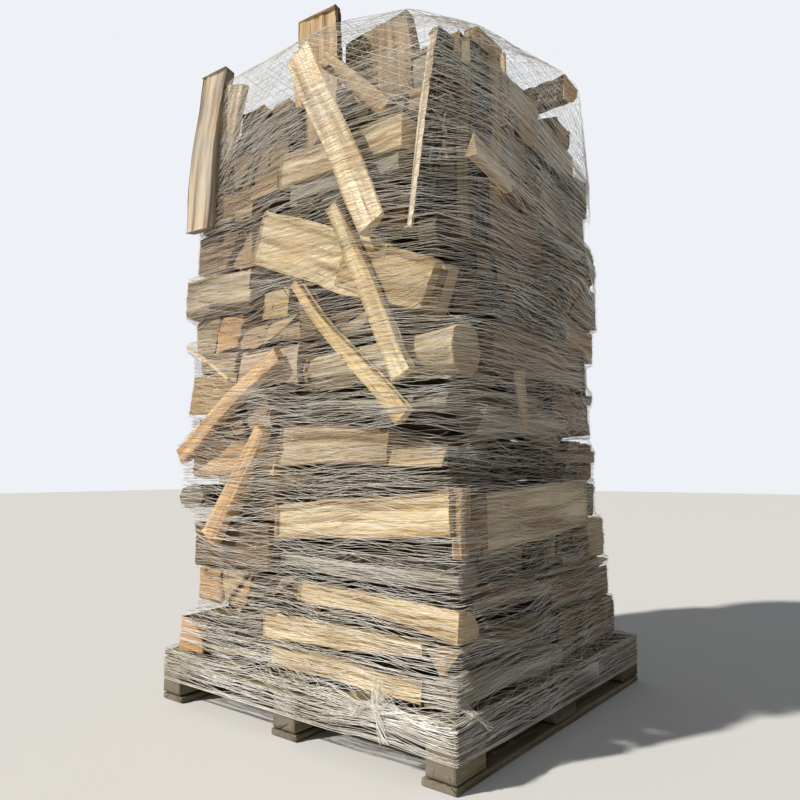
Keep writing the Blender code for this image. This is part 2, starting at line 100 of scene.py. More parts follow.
# Each log's tone, its greyness, and the side that carries bark with how near to it a face has to point
ALL_ROUND = -2.0
NO_BARK = 2.0
LOG_LOOKS = {
    "log_front_a4": ("yellow", 0.10, (0, 0.7, 0.7), 0.5),
    "log_front_a3": ("straw", 0.10, (0, 1, 0), 0.3),
    "log_corner_a5": ("tan", 0.40, (0, 0, -1), 0.5),
    "log_corner_a6": ("grey", 0.80, (0, 0, -1), 0.5),
    "log_front_a2": ("straw", 0.05, (0, 0.7, 0.7), 0.5),
    "log_front_b1": ("grey", 1.00, (0, 0.3, 1), 0.30),
    "log_front_c1": ("straw", 0.05, (0, 1, 0), 0.3),
    "log_front_c2": ("dark", 0.70, (0, -1, 0), ALL_ROUND),
    "log_front_d1": ("tan", 0.25, (0, 0.8, 0.6), 0.5),
    "log_corner_d2": ("straw", 0.30, (1, 0, 0.3), 0.6),
    "log_front_e2": ("grey", 0.90, (0, 1, 0), 0.4),
    "log_front_f1": ("straw", 0.45, (0, 1, -0.4), 0.2),
    "log_front_g2": ("straw", 0.05, (0, 0.6, 1), 0.8),
    "log_front_g1": ("straw", 0.05, (0, 0.8, 0.6), 0.8),
    "log_front_i1": ("straw", 0.10, (0, 1, 0), 0.3),
    "log_lean_e1": ("yellow", 0.00, (0, 1, 0), 0.9),
    "log_lean_h2": ("straw", 0.05, (0, 1, 0), 0.9),
    "log_lean_h1": ("pale", 0.00, (0, 1, 0), 0.5),
    "log_lean_k8": ("orange", 0.10, (0, 1, 0), 0.8),
    "log_lean_k12": ("orange", 0.10, (0, 1, 0), 0.8),
    "log_stand_i2": ("umber", 0.10, (0, 1, 0), 0.8),
    "log_stand_i3": ("pale", 0.35, (1, 0.1, 0), 0.1),
    "log_stand_i4": ("olive", 0.20, (1, 0, 0), 0.6),
    "log_stand_j1": ("tan", 0.00, (0.5, 1, 0), 0.2),
    "log_stand_k1": ("tan", 0.80, (0, 1, 0), 0.7),
    "log_side_i7": ("pale", 0.15, (0, 0, 1), 0.9),
    "log_side_r2": ("straw", 0.45, (-1, 0, 0), 0.3),
    "log_side_e3": ("grey", 0.60, (0, 0, 1), 0.5),
    "log_side_f3": ("brown", 0.35, (-1, 0, 0), 0.3),
    "log_corner_r7": ("brown", 0.30, (0.7, 0, 0.7), 0.4),
    "log_side_r6": ("brown", 0.20, (1, 0, 0), 0.7),
    "log_top_i8": ("orange", 0.00, (0, -0.7, -0.7), 0.5),
    "log_left_k9": ("ochre", 0.00, (0, 0, 1), 0.6),
    "log_left_k14": ("grey", 0.70, (-1, -0.2, 0), ALL_ROUND),
    "log_left_k6": ("straw", 0.10, (0, 0, -1), 0.6),
    "log_left_l1": ("orange", 0.00, (-0.7, 0, 0.7), 0.4),
}

# How shapes are cleaned, cut and shaded
MERGE_DISTANCE = 0.00002
FLAT_ANGLE = math.radians(1.0)
SLICE_SNAP = 0.00005
SHARP_ANGLE = 0.6
SMOOTH_ANGLE = math.radians(48)
STEEP = 0.9
END_FACING = 0.72
PITH_DEPTH = 0.012

# Roughness: each noise's rate along and across the grain, and how far a log bows and swells
FULL_ROUGHNESS_AT = 0.075
LEAST_ROUGHNESS, MOST_ROUGHNESS = 0.30, 1.1
WAVE_RATES = (3.2, 7)
LEDGE_RATES = (2.4, 34)
LEDGE_STEPS = 4
FINE_RATES = (9, 95)
FINE_DEPTH = 0.0007
FURROW_RATES = (16, 52)
LUMP_RATES = (7, 16)
LUMP_DEPTH = 0.003
END_RATE = 40
END_DEPTH = 0.0012
CHIP_RATES = (15, 20)
CHIP_DEPTH = 0.016
BOW_RATE = 3.4
SWELL_RATE = 6.0
LOG_BOW = (0.012, 0.16)
STICK_BOW = (0.010, 0.25)
STACK_BOW = (0.010, 0.16)
TIMBER_ROUGHNESS = 0.22
STICK_ROUGHNESS = 0.8

# Distance between cuts along and across a piece
TIMBER_SLICES = (0.020, 0.012)
STICK_SLICES = (0.011, 0.007)
STACK_SLICES = (0.022, 0.013)
STICK_EDGE_SHARE = 0.16

# Tiers of logs behind the single ones. They stand where the part's source has them. Extra short and
# half-height logs fill the room beside the single logs, and every log lies a little askew. The insets are
# those of a tier's left, right, front and back
TOUCH_GAP = 0.0003
BOARD_THICKNESS = 0.018
BLOCK_HEIGHT = 0.080
LOAD_Z = BOARD_THICKNESS * 3 + BLOCK_HEIGHT + 4 * TOUCH_GAP
TIER_HEIGHTS = (0.122, 0.112, 0.128, 0.108, 0.124, 0.116, 0.130, 0.110, 0.120, 0.126, 0.112, 0.124, 0.106,
                0.084)
TIER_INSETS = (
    (0.000, 0.010, 0.010, 0.005), (0.030, 0.020, 0.030, 0.015), (0.015, 0.035, 0.005, 0.030),
    (0.000, 0.045, 0.020, 0.050), (0.010, 0.040, 0.010, 0.045), (0.020, 0.060, 0.005, 0.060),
    (-0.010, 0.050, 0.020, 0.050), (-0.025, 0.040, 0.015, 0.045), (-0.030, 0.030, 0.005, 0.030),
    (-0.020, 0.045, 0.020, 0.045), (0.010, 0.060, 0.010, 0.060), (0.005, 0.070, 0.040, 0.050),
    (0.015, 0.075, 0.080, 0.045), (0.060, 0.090, 0.120, 0.055),
)
TOP_TIER_SHARE = 0.45
TIER_REACH = 0.470
TIER_LOG_WIDTH = 0.118
TIER_SPLIT_SHARE = 0.35
TIER_OVERLAP = 0.0020
TIER_END_STEP = 0.028
TIER_CLEARANCE = -0.006
TIER_SHORTEST = 0.060
TIER_LOW_SHARE = 0.52
TIER_EDGE_SHIFT = 0.28
TIER_JOIN_SHIFT = 0.07
TIER_SEED = 8
STRETCHES = 10
STRETCH_LENGTH = 0.5 / STRETCHES
STRETCH_MARGIN = 0.03
STACK_GAP = 2.4 * TIER_OVERLAP + TOUCH_GAP
STACK_TIERS = {"stack_lower": (0, 4), "stack_middle": (4, 9), "stack_upper": (9, 14)}
STACK_SHRINK = (0.95, 1.0)
STACK_TURN = 7
STACK_ASKEW = 1.7
STACK_BULGE = (-0.006, 0.010)
STACK_EDGE_WEAR = (0.005, 0.017)
STACK_SHADES = (0.70, 1.05)
STACK_GREYNESS = (0.1, 0.2, 0.5)
STACK_BARK = (0.55, 0.8, NO_BARK)
STACK_OUTER_ROW = 0.36
STACK_OUTER_END = 0.3
STACK_END_SLICES = (0.004, 0.03, 0.06, 0.10, 0.15, 0.22)
STACK_TONES = ("straw", "tan", "tan", "brown", "brown", "olive", "grey", "orange", "pink", "dark")

# Places where a stacked log's end or side shows in a tone of its own
STACK_SPOTS = (
    ((-0.205, -0.460, 0.200), "olive"), ((-0.382, -0.460, 0.278), "orange"),
    ((-0.270, -0.460, 1.042), "orange"), ((-0.152, -0.460, 0.797), "tan"),
    ((-0.343, -0.460, 1.278), "brown"), ((-0.282, -0.450, 1.472), "umber"),
    ((0.106, -0.450, 0.874), "grey"), ((0.440, 0.300, 1.150), "brown"), ((0.430, 0.223, 0.572), "dark"),
    ((0.430, -0.043, 1.558), "grey"), ((0.430, 0.100, 0.207), "olive"), ((0.420, 0.230, 0.800), "brown"),
    ((0.430, -0.150, 1.360), "brown"), ((0.430, 0.150, 1.360), "brown"), ((0.430, 0.350, 1.360), "grey"),
    ((0.430, 0.200, 1.470), "brown"), ((0.430, 0.300, 1.590), "olive"), ((0.430, 0.100, 1.240), "brown"),
)
SPOT_REACH = 0.035

# Loose sticks and odd logs among the others: tone, greyness, two ends, and size across and up
STICKS = {
    "stick_left_yellow": ("yellow", 0.0, (-0.455, -0.488, 1.005), (-0.250, -0.488, 0.892), (0.010, 0.015)),
    "stick_left_plank": ("straw", 0.45, (-0.405, -0.484, 1.148), (-0.170, -0.484, 1.118), (0.014, 0.042)),
    "stick_behind_h1": ("tan", 0.0, (0.035, -0.430, 1.745), (0.262, -0.430, 1.530), (0.024, 0.062)),
    "stick_right_tan": ("tan", 0.4, (0.487, -0.205, 0.885), (0.487, -0.165, 0.735), (0.046, 0.012)),
    "stick_corner_tan": ("tan", 0.2, (0.462, -0.412, 0.450), (0.462, -0.408, 0.602), (0.052, 0.036)),
    "stick_top_thin": ("straw", 0.1, (0.470, -0.232, 1.500), (0.470, -0.232, 1.690), (0.014, 0.032)),
    "stick_by_j1": ("orange", 0.0, (-0.138, -0.330, 1.640), (-0.138, -0.345, 1.868), (0.050, 0.044)),
    "stick_beside_k1": ("straw", 0.6, (-0.440, -0.420, 1.360), (-0.345, -0.420, 1.815), (0.030, 0.105)),
    "stick_top_brown": ("olive", 0.0, (0.100, -0.272, 1.400), (0.088, -0.268, 1.885), (0.056, 0.215)),
    "stick_front_g": ("ochre", 0.0, (0.130, -0.438, 1.163), (0.402, -0.438, 1.057), (0.044, 0.150)),
    "stick_top_tan": ("tan", 0.0, (0.426, -0.237, 1.310), (0.420, -0.237, 1.755), (0.135, 0.052)),
    "stick_left_high": ("umber", 0.4, (-0.455, -0.395, 0.955), (-0.270, -0.395, 0.953), (0.130, 0.082)),
    "stick_left_middle": ("brown", 0.5, (-0.455, -0.385, 0.731), (-0.230, -0.385, 0.729), (0.120, 0.050)),
    "stick_left_low": ("brown", 0.4, (-0.360, -0.385, 0.622), (0.020, -0.385, 0.618), (0.120, 0.050)),
    "stick_back_lean_low": ("tan", 0.3, (0.300, 0.462, 0.560), (0.030, 0.462, 0.980), (0.036, 0.066)),
    "stick_back_lean_middle": ("straw", 0.3, (-0.380, 0.462, 0.950), (-0.150, 0.462, 1.390), (0.036, 0.074)),
    "stick_back_lean_high": ("umber", 0.3, (0.080, 0.456, 1.230), (0.385, 0.456, 1.600), (0.038, 0.064)),
    "stick_back_low": ("orange", 0.2, (-0.330, 0.466, 0.330), (0.060, 0.466, 0.560), (0.034, 0.058)),
    "stick_left_lean_low": ("orange", 0.2, (-0.478, 0.300, 0.420), (-0.478, 0.080, 0.840), (0.060, 0.034)),
    "stick_left_lean_high": ("straw", 0.4, (-0.476, 0.000, 1.330), (-0.476, 0.270, 1.720), (0.070, 0.034)),
    "stick_left_gap_high": ("brown", 0.4, (-0.462, -0.400, 1.372), (-0.300, -0.400, 1.370), (0.110, 0.048)),
    "stick_left_gap_low": ("umber", 0.4, (-0.465, -0.405, 1.238), (-0.330, -0.405, 1.236), (0.100, 0.046)),
    "stick_right_gap_one": ("brown", 0.3, (0.382, 0.180, 1.224), (0.382, 0.418, 1.222), (0.090, 0.050)),
    "stick_right_gap_two": ("umber", 0.3, (0.382, 0.180, 1.086), (0.382, 0.418, 1.085), (0.090, 0.050)),
    "stick_right_gap_three": ("brown", 0.3, (0.382, 0.080, 0.850), (0.382, 0.414, 0.860), (0.090, 0.054)),
    "stick_right_gap_four": ("brown", 0.3, (0.382, 0.120, 0.680), (0.382, 0.412, 0.682), (0.090, 0.046)),
    "stick_right_gap_five": ("umber", 0.3, (0.382, 0.180, 0.376), (0.382, 0.418, 0.375), (0.090, 0.046)),
}

# Netting
NET_FOOT_Z = 0.056
NET_TOP_Z = 1.640
NET_LEVEL_STEP = 0.006
NET_WINDOW = 0.010
NET_ANGLES = 360
NET_MARGIN = 5
NET_LIFT = 0.0012
NET_LAYER_STEP = 0.0008
NET_TIE_LIFT = 0.0005
NET_HEADINGS = (1.6, 4.2, 0.4, 2.9, 5.3, 2.2)
NET_TWIST = 2.4
NET_WANDER = 0.016
NET_WAVES = ((2.1, 0, 1.0), (9.0, 40, 0.22), (38.0, 80, 0.06))
TIE_STEPS = 4
NET_LENGTH = 3.8
UNWRAPPED = ("log_stand_k1",)

# Closer turns over the pallet's blocks
FOOT_LAYERS = 3
FOOT_GAP = 0.0115
FOOT_TOP_Z = 0.205
FOOT_TILT = 0.020
FOOT_WANDER = 0.060
FOOT_LIFT = 0.0035

# Where the netting is pinched together: angle, height, reach round and up, and how hard
NET_PINCHES = (
    (-71, 1.200, 12, 0.050, 0.75), (-97, 1.130, 10, 0.040, 0.70), (-107, 0.850, 9, 0.050, 0.70),
    (-53, 0.775, 9, 0.045, 0.70), (-45, 0.680, 10, 0.050, 0.65), (-59, 0.110, 9, 0.045, 0.80),
    (-121, 0.620, 10, 0.050, 0.70), (-128, 1.480, 12, 0.050, 0.60), (-20, 0.240, 16, 0.060, 0.70),
    (10, 0.900, 14, 0.050, 0.60), (-30, 1.350, 12, 0.050, 0.65), (50, 0.450, 12, 0.060, 0.60),
    (90, 1.100, 14, 0.060, 0.65), (130, 0.700, 12, 0.050, 0.65), (170, 1.250, 14, 0.060, 0.60),
    (200, 0.350, 12, 0.050, 0.70), (215, 0.950, 12, 0.050, 0.65),
)

# Rope-like bunches at the pallet: angle and height of both ends, number of threads, and spread
NET_BUNCHES = (
    (-60.5, 0.165, -58.0, 0.072, 34, 0.018), (-60.0, 0.140, -46.6, 0.124, 30, 0.020),
    (-42.5, 0.155, -37.0, 0.105, 16, 0.014), (-66.0, 0.120, -57.0, 0.150, 18, 0.016),
)

# The veil over the top: direction that a family of turns rises to, its tilt, the heights that its first and
# last turn have over the load's middle, and their number
VEIL_FOOT_Z = 1.340
VEIL_CLIP_Z = 1.862
VEIL_STEP = 0.026
VEIL_SNAP = 0.00001
VEIL_LIFT = 0.003
VEIL_WAVE = 0.007
VEIL_SHORTEST = 0.5
VEIL_TIE_PITCH = 0.07
VEIL_TIE_SHARE = 0.4
VEIL_FAMILIES = (
    (200, 9, 1.570, 1.840, 24), (30, 20, 1.580, 1.850, 14), (0, 42, 1.790, 2.140, 20),
    (180, 30, 1.690, 2.000, 14), (275, 26, 1.640, 1.980, 18), (95, 27, 1.660, 1.980, 12),
)

# Camera, from the photograph's perspective
CAMERA_PLACE = (1.317, -1.716, 0.641)
CAMERA_TILT = 95.7
CAMERA_HEADING = 38.28
CAMERA_LENS = 31.84
CAMERA_SENSOR = 36.0

# Floor, sky and sun
FLOOR_REACH = 20.0
SKY_COLOUR = (0.93, 0.96, 1.0, 1.0)
BACKDROP_STRENGTH = 0.92
SUN_COLOUR = (1.0, 0.955, 0.885)
SUN_WIDTH = 2.5
SUN_FROM = (-0.42, -0.78, 0.72)


class FirewoodWoodSettings(bpy.types.PropertyGroup):
    """Sizes of the wood's cuts and roughness."""

    slice_length: bpy.props.FloatProperty(
        name="Slice Length", description="Distance between a log's rings", default=0.014, unit="LENGTH")
    slice_width: bpy.props.FloatProperty(
        name="Slice Width", description="Distance between a log's long cuts", default=0.0085, unit="LENGTH")
    edge_wear: bpy.props.FloatProperty(
        name="Edge Wear", description="Width of the worn edge of a log", default=0.0030, unit="LENGTH")
    wave_depth: bpy.props.FloatProperty(
        name="Wave Depth", description="Depth of the slow waves of a split face", default=0.0095,
        unit="LENGTH")
    ledge_depth: bpy.props.FloatProperty(
        name="Ledge Depth", description="Depth of the torn ledges along the grain", default=0.0055,
        unit="LENGTH")
    bark_depth: bpy.props.FloatProperty(
        name="Bark Depth", description="Depth of the furrows in the bark", default=0.0060, unit="LENGTH")
    seed: bpy.props.IntProperty(name="Seed", description="Start of the random numbers", default=21)


class FirewoodNetSettings(bpy.types.PropertyGroup):
    """Sizes of the netting."""

    layers: bpy.props.IntProperty(name="Layers", description="Turns of netting over each other", default=6)
    strand_gap: bpy.props.FloatProperty(
        name="Strand Gap", description="Height between two strands of one layer", default=0.026,
        unit="LENGTH")
    strand_radius: bpy.props.FloatProperty(
        name="Strand Radius", description="Radius of a strand", default=0.00044, unit="LENGTH")
    tie_radius: bpy.props.FloatProperty(
        name="Tie Radius", description="Radius of the zigzag threads", default=0.00030, unit="LENGTH")
    tie_pitch: bpy.props.FloatProperty(
        name="Tie Pitch", description="Length of one zigzag along the strands", default=0.340, unit="LENGTH")
    tilt: bpy.props.FloatProperty(
        name="Tilt", description="Rise of a turn from one side of the load to the other", default=0.036,
        unit="LENGTH")
    hairs: bpy.props.IntProperty(name="Hairs", description="Number of loose short threads", default=700)
    seed: bpy.props.IntProperty(name="Seed", description="Start of the random numbers", default=5)
    colour: bpy.props.FloatVectorProperty(
        name="Colour", description="Colour of the netting", default=(0.80, 0.785, 0.745), subtype="COLOR")


class FirewoodStageSettings(bpy.types.PropertyGroup):
    """Light and floor."""

    floor_colour: bpy.props.FloatVectorProperty(
        name="Floor Colour", description="Colour of the floor", default=(0.60, 0.60, 0.59), subtype="COLOR")
    sun_strength: bpy.props.FloatProperty(
        name="Sun Strength", description="Strength of the key light", default=4.8)
    sky_strength: bpy.props.FloatProperty(
        name="Sky Strength", description="Strength of the light from all round", default=0.28)


def wood_settings():
    """Return the scene's wood settings."""
    return bpy.context.scene.firewood_wood


def net_settings():
    """Return the scene's netting settings."""
    return bpy.context.scene.firewood_net


def stage_settings():
    """Return the scene's stage settings."""
    return bpy.context.scene.firewood_stage


# Materials

def new_material(name):
    """Return a new material, its node tree and its main shader."""
    material = bpy.data.materials.new("firewood_" + name)
    material.use_nodes = True
    tree = material.node_tree
    shader = tree.nodes["Principled BSDF"]
    return material, tree, shader


def add_node(tree, kind, settings=None, inputs=None):
    """Add a node, set its settings, and set or link its inputs."""
    node = tree.nodes.new(kind)
    for name, value in (settings or {}).items():
        setattr(node, name, value)
    for name, value in (inputs or {}).items():
        if isinstance(value, bpy.types.NodeSocket):
            tree.links.new(value, node.inputs[name])
        else:
            node.inputs[name].default_value = value
    return node


def stretched(tree, vector, stretch):
    """Return a vector multiplied side by side."""
    made = add_node(tree, "ShaderNodeVectorMath", {"operation": "MULTIPLY"}, {0: vector, 1: stretch})
    return made.outputs[0]


def stretched_noise(tree, vector, stretch, detail=4.0, roughness=0.55):
    """Return noise whose pattern is stretched along the grain."""
    made = add_node(tree, "ShaderNodeTexNoise", None,
                    {"Vector": stretched(tree, vector, stretch), "Scale": 1.0, "Detail": detail,
                     "Roughness": roughness})
    return made.outputs["Fac"]


def spread_out(tree, value, low, high, first=0.0, last=1.0):
    """Return a value stretched from one range to another."""
    made = add_node(tree, "ShaderNodeMapRange", None,
                    {"Value": value, "From Min": low, "From Max": high, "To Min": first, "To Max": last})
    return made.outputs["Result"]


def mix_colours(tree, share, first, second, blend="MIX"):
    """Return two colours mixed by a share."""
    made = add_node(tree, "ShaderNodeMix", {"data_type": "RGBA", "blend_type": blend})
    for socket, value in ((0, share), (6, first), (7, second)):
        if isinstance(value, bpy.types.NodeSocket):
            tree.links.new(value, made.inputs[socket])
        elif socket == 0:
            made.inputs[socket].default_value = value
        else:
            made.inputs[socket].default_value = (*value, 1.0)
    return made.outputs[2]


def tinted(tree, tone, shares):
    """Return a tone with each of its colours multiplied by a share."""
    return mix_colours(tree, 1.0, tone, shares, "MULTIPLY")


def arithmetic(tree, operation, first, second):
    """Return the result of one sum on two values."""
    made = add_node(tree, "ShaderNodeMath", {"operation": operation}, {0: first, 1: second})
    return made.outputs[0]


def add_bump(tree, shader, height, strength, distance, before=None):
    """Add a bump to a shader, over an earlier one where there is one."""
    inputs = {"Height": height, "Strength": strength, "Distance": distance}
    if before is not None:
        inputs["Normal"] = before
    made = add_node(tree, "ShaderNodeBump", None, inputs)
    tree.links.new(made.outputs["Normal"], shader.inputs["Normal"])
    return made.outputs["Normal"]


def grain_of(tree):
    """Return the grain coordinates that a piece of wood carries."""
    return add_node(tree, "ShaderNodeAttribute", {"attribute_name": "grain"}).outputs["Vector"]


def tone_of(tree):
    """Return the tone that a piece of wood carries."""
    return add_node(tree, "ShaderNodeAttribute", {"attribute_name": "tone"}).outputs["Color"]


def greyness_of(tree):
    """Return the greyness that a piece of wood carries."""
    return add_node(tree, "ShaderNodeAttribute", {"attribute_name": "weather"}).outputs["Fac"]


def finish_surface(tree, shader, colour, roughness, gloss):
    """Link a shader's colour and set its roughness and gloss."""
    tree.links.new(colour, shader.inputs["Base Color"])
    shader.inputs["Roughness"].default_value = roughness
    shader.inputs["Specular IOR Level"].default_value = gloss


def split_wood_material():
    """Split wood: streaks and fibres along the grain, torn lines in painted shade, and grey where it has
    weathered.
    """
    material, tree, shader = new_material("split_wood")
    grain = grain_of(tree)
    tone = tone_of(tree)
    weather = greyness_of(tree)
    streaks = stretched_noise(tree, grain, (2.6, 46.0, 46.0), 5.0)
    fibres = stretched_noise(tree, grain, (16.0, 420.0, 420.0), 3.0)
    blotches = stretched_noise(tree, grain, (7.0, 13.0, 13.0), 4.0)
    tears_and_shade = stretched_noise(tree, grain, (7.0, 150.0, 150.0), 2.0)
    darker = tinted(tree, tone, (0.52, 0.40, 0.28))
    lighter = tinted(tree, tone, (1.26, 1.26, 1.26))
    colour = mix_colours(tree, spread_out(tree, streaks, 0.36, 0.58), darker, lighter)
    warm = tinted(tree, tone, (0.96, 0.80, 0.60))
    colour = mix_colours(tree, spread_out(tree, blotches, 0.50, 0.70, 0.0, 0.85), colour, warm)
    colour = mix_colours(tree, spread_out(tree, fibres, 0.30, 0.60, 0.30, 0.0), colour,
                         tinted(tree, tone, (0.50, 0.40, 0.30)))
    # Torn lines along the grain go near-black: painted shade inside the fissures
    colour = mix_colours(tree, spread_out(tree, tears_and_shade, 0.66, 0.72, 0.0, 0.75), colour, (0.045, 0.03, 0.02))
    greyed = arithmetic(tree, "MULTIPLY", weather, spread_out(tree, blotches, 0.32, 0.60, 0.35, 1.0))
    grey = mix_colours(tree, spread_out(tree, streaks, 0.38, 0.62), (0.15, 0.14, 0.12), (0.46, 0.43, 0.37))
    colour = mix_colours(tree, greyed, colour, grey)
    finish_surface(tree, shader, colour, 0.78, 0.28)
    below = add_bump(tree, shader, streaks, 0.9, 0.006)
    below = add_bump(tree, shader, tears_and_shade, 0.6, 0.0025, below)
    add_bump(tree, shader, fibres, 0.6, 0.0010, below)
    return material


def bark_material():
    """Bark: dark plates; furrows darker by their own colour and by painted shade; paler flakes; a little
    lichen.
    """
    material, tree, shader = new_material("bark")
    grain = grain_of(tree)
    bend = stretched_noise(tree, grain, (12.0, 30.0, 30.0), 4.0)
    shifted = add_node(tree, "ShaderNodeVectorMath", {"operation": "ADD"},
                       {0: stretched(tree, grain, (20.0, 62.0, 62.0)),
                        1: spread_out(tree, bend, 0.0, 1.0, -1.4, 1.4)})
    plates = add_node(tree, "ShaderNodeTexVoronoi", {"feature": "DISTANCE_TO_EDGE"},
                      {"Vector": shifted.outputs[0], "Scale": 1.0})
    furrow = spread_out(tree, plates.outputs["Distance"], 0.0, 0.16)
    flakes = stretched_noise(tree, grain, (60.0, 160.0, 160.0), 4.0, 0.65)
    patches = stretched_noise(tree, grain, (9.0, 16.0, 16.0), 3.0)
    plate = mix_colours(tree, spread_out(tree, flakes, 0.36, 0.66), (0.070, 0.058, 0.046),
                        (0.200, 0.178, 0.148))
    plate = mix_colours(tree, spread_out(tree, patches, 0.56, 0.70, 0.0, 0.55), plate, (0.16, 0.165, 0.115))
    # Furrows go near-black: partly the bark's own darker colour, partly painted shade in the recesses
    colour = mix_colours(tree, furrow, (0.030, 0.024, 0.018), plate)
    finish_surface(tree, shader, colour, 0.88, 0.22)
    below = add_bump(tree, shader, furrow, 0.9, 0.004)
    add_bump(tree, shader, flakes, 0.6, 0.0015, below)
    return material


def end_grain_material():
    """A sawn end: growth rings round the pith, cracks that run out from it in painted shade, and saw marks.
    """
    material, tree, shader = new_material("end_grain")
    grain = grain_of(tree)
    tone = tone_of(tree)
    weather = greyness_of(tree)
    flat = stretched(tree, grain, (0.0, 1.0, 1.0))
    rings = add_node(tree, "ShaderNodeTexWave", {"wave_type": "RINGS", "rings_direction": "X"},
                     {"Vector": flat, "Scale": 62.0, "Distortion": 1.4, "Detail": 3.0,
                      "Detail Scale": 0.35})
    parts = add_node(tree, "ShaderNodeSeparateXYZ", None, {0: grain})
    angle = arithmetic(tree, "ARCTAN2", parts.outputs["Y"], parts.outputs["Z"])
    depth = add_node(tree, "ShaderNodeVectorMath", {"operation": "LENGTH"}, {0: flat})
    spoke = add_node(tree, "ShaderNodeCombineXYZ", None,
                     {0: arithmetic(tree, "MULTIPLY", angle, 9.0),
                      1: arithmetic(tree, "MULTIPLY", depth.outputs["Value"], 9.0),
                      2: parts.outputs["X"]})
    cracks = add_node(tree, "ShaderNodeTexNoise", None,
                      {"Vector": spoke.outputs[0], "Scale": 1.0, "Detail": 3.0, "Roughness": 0.6})
    crack_and_shade = spread_out(tree, cracks.outputs["Fac"], 0.64, 0.69)
    blotches = stretched_noise(tree, grain, (5.0, 30.0, 30.0), 4.0)
    saw = stretched_noise(tree, grain, (5.0, 30.0, 420.0), 2.0)
    darker = tinted(tree, tone, (0.55, 0.47, 0.38))
    lighter = tinted(tree, tone, (0.98, 0.94, 0.90))
    colour = mix_colours(tree, spread_out(tree, rings.outputs["Fac"], 0.15, 0.85), darker, lighter)
    warm = tinted(tree, tone, (0.92, 0.68, 0.44))
    colour = mix_colours(tree, spread_out(tree, blotches, 0.46, 0.68, 0.0, 0.8), colour, warm)
    greyed = arithmetic(tree, "MULTIPLY", weather, spread_out(tree, blotches, 0.30, 0.60, 0.5, 1.0))
    colour = mix_colours(tree, greyed, colour, (0.20, 0.18, 0.15))
    # Cracks go near-black: painted shade inside them
    colour = mix_colours(tree, arithmetic(tree, "MULTIPLY", crack_and_shade, 0.85), colour, (0.03, 0.022, 0.015))
    finish_surface(tree, shader, colour, 0.85, 0.22)
    below = add_bump(tree, shader, saw, 0.45, 0.0015)
    below = add_bump(tree, shader, rings.outputs["Fac"], 0.25, 0.0008, below)
    add_bump(tree, shader, arithmetic(tree, "SUBTRACT", 1.0, crack_and_shade), 0.8, 0.004, below)
    return material


def pallet_wood_material():
    """Sawn boards left outdoors: grey-brown, with dark grain, damp stains and a green cast."""
    material, tree, shader = new_material("pallet_wood")
    grain = grain_of(tree)
    tone = tone_of(tree)
    streaks = stretched_noise(tree, grain, (3.0, 60.0, 60.0), 5.0)
    fibres = stretched_noise(tree, grain, (18.0, 480.0, 480.0), 3.0)
    blotches = stretched_noise(tree, grain, (5.0, 11.0, 11.0), 4.0)
    darker = tinted(tree, tone, (0.42, 0.38, 0.34))
    lighter = tinted(tree, tone, (1.35, 1.32, 1.28))
    colour = mix_colours(tree, spread_out(tree, streaks, 0.34, 0.64), darker, lighter)
    colour = mix_colours(tree, spread_out(tree, blotches, 0.50, 0.70, 0.0, 0.6), colour, (0.10, 0.098, 0.060))
    colour = mix_colours(tree, spread_out(tree, fibres, 0.30, 0.55, 0.5, 0.0), colour, (0.045, 0.036, 0.026))
    finish_surface(tree, shader, colour, 0.86, 0.22)
    below = add_bump(tree, shader, streaks, 0.5, 0.002)
    add_bump(tree, shader, fibres, 0.5, 0.0008, below)
    return material


def netting_material():
    """Knitted plastic thread, white once and dusty now."""
    material, tree, shader = new_material("netting")
    place = add_node(tree, "ShaderNodeTexCoord").outputs["Object"]
    dust = stretched_noise(tree, place, (7.0, 7.0, 14.0), 3.0)
    white = net_settings().colour
    dusty = tuple(value * share for value, share in zip(white, (0.74, 0.70, 0.62)))
    colour = mix_colours(tree, spread_out(tree, dust, 0.38, 0.64), tuple(white), dusty)
    finish_surface(tree, shader, colour, 0.50, 0.35)
    return material


def floor_material():
    """Plain pale floor."""
    material, _, shader = new_material("floor")
    shader.inputs["Base Color"].default_value = (*stage_settings().floor_colour, 1.0)
    shader.inputs["Roughness"].default_value = 0.9
    shader.inputs["Specular IOR Level"].default_value = 0.1
    return material


def shared_material(name):
    """Return a material by name, and make it the first time."""
    makers = {
        "split_wood": split_wood_material, "bark": bark_material, "end_grain": end_grain_material,
        "pallet_wood": pallet_wood_material, "netting": netting_material, "floor": floor_material,
    }
    return bpy.data.materials.get("firewood_" + name) or makers[name]()


# Wood

def square_up(along):
    """Return the direction square to a log that is most nearly up."""
    reference = Vector((0, 0, 1)) if abs(along.z) < STEEP else Vector((0, 1, 0))
    return (reference - along * reference.dot(along)).normalized()


def log_axes(points):
    """Return the middle of a log and its directions along, across and up."""
    middle = points.mean(axis=0)
    _, _, rows = np.linalg.svd(points - middle, full_matrices=False)
    along = Vector(rows[0]).normalized()
    if max(along, key=abs) < 0:
        along.negate()
    up = square_up(along)
    return Vector(middle), along, along.cross(up), up


def node_shape(name):
    """Return a merged copy of a CAD node with its flat faces whole again."""
    shape = bmesh.new()
    shape.from_mesh(NODES[name].data)
    bmesh.ops.remove_doubles(shape, verts=shape.verts, dist=MERGE_DISTANCE)
    bmesh.ops.dissolve_limit(shape, angle_limit=FLAT_ANGLE, verts=shape.verts, edges=shape.edges)
    return shape


def shape_points(shape):
    """Return a shape's vertices as an array."""
    return np.array([vert.co[:] for vert in shape.verts])


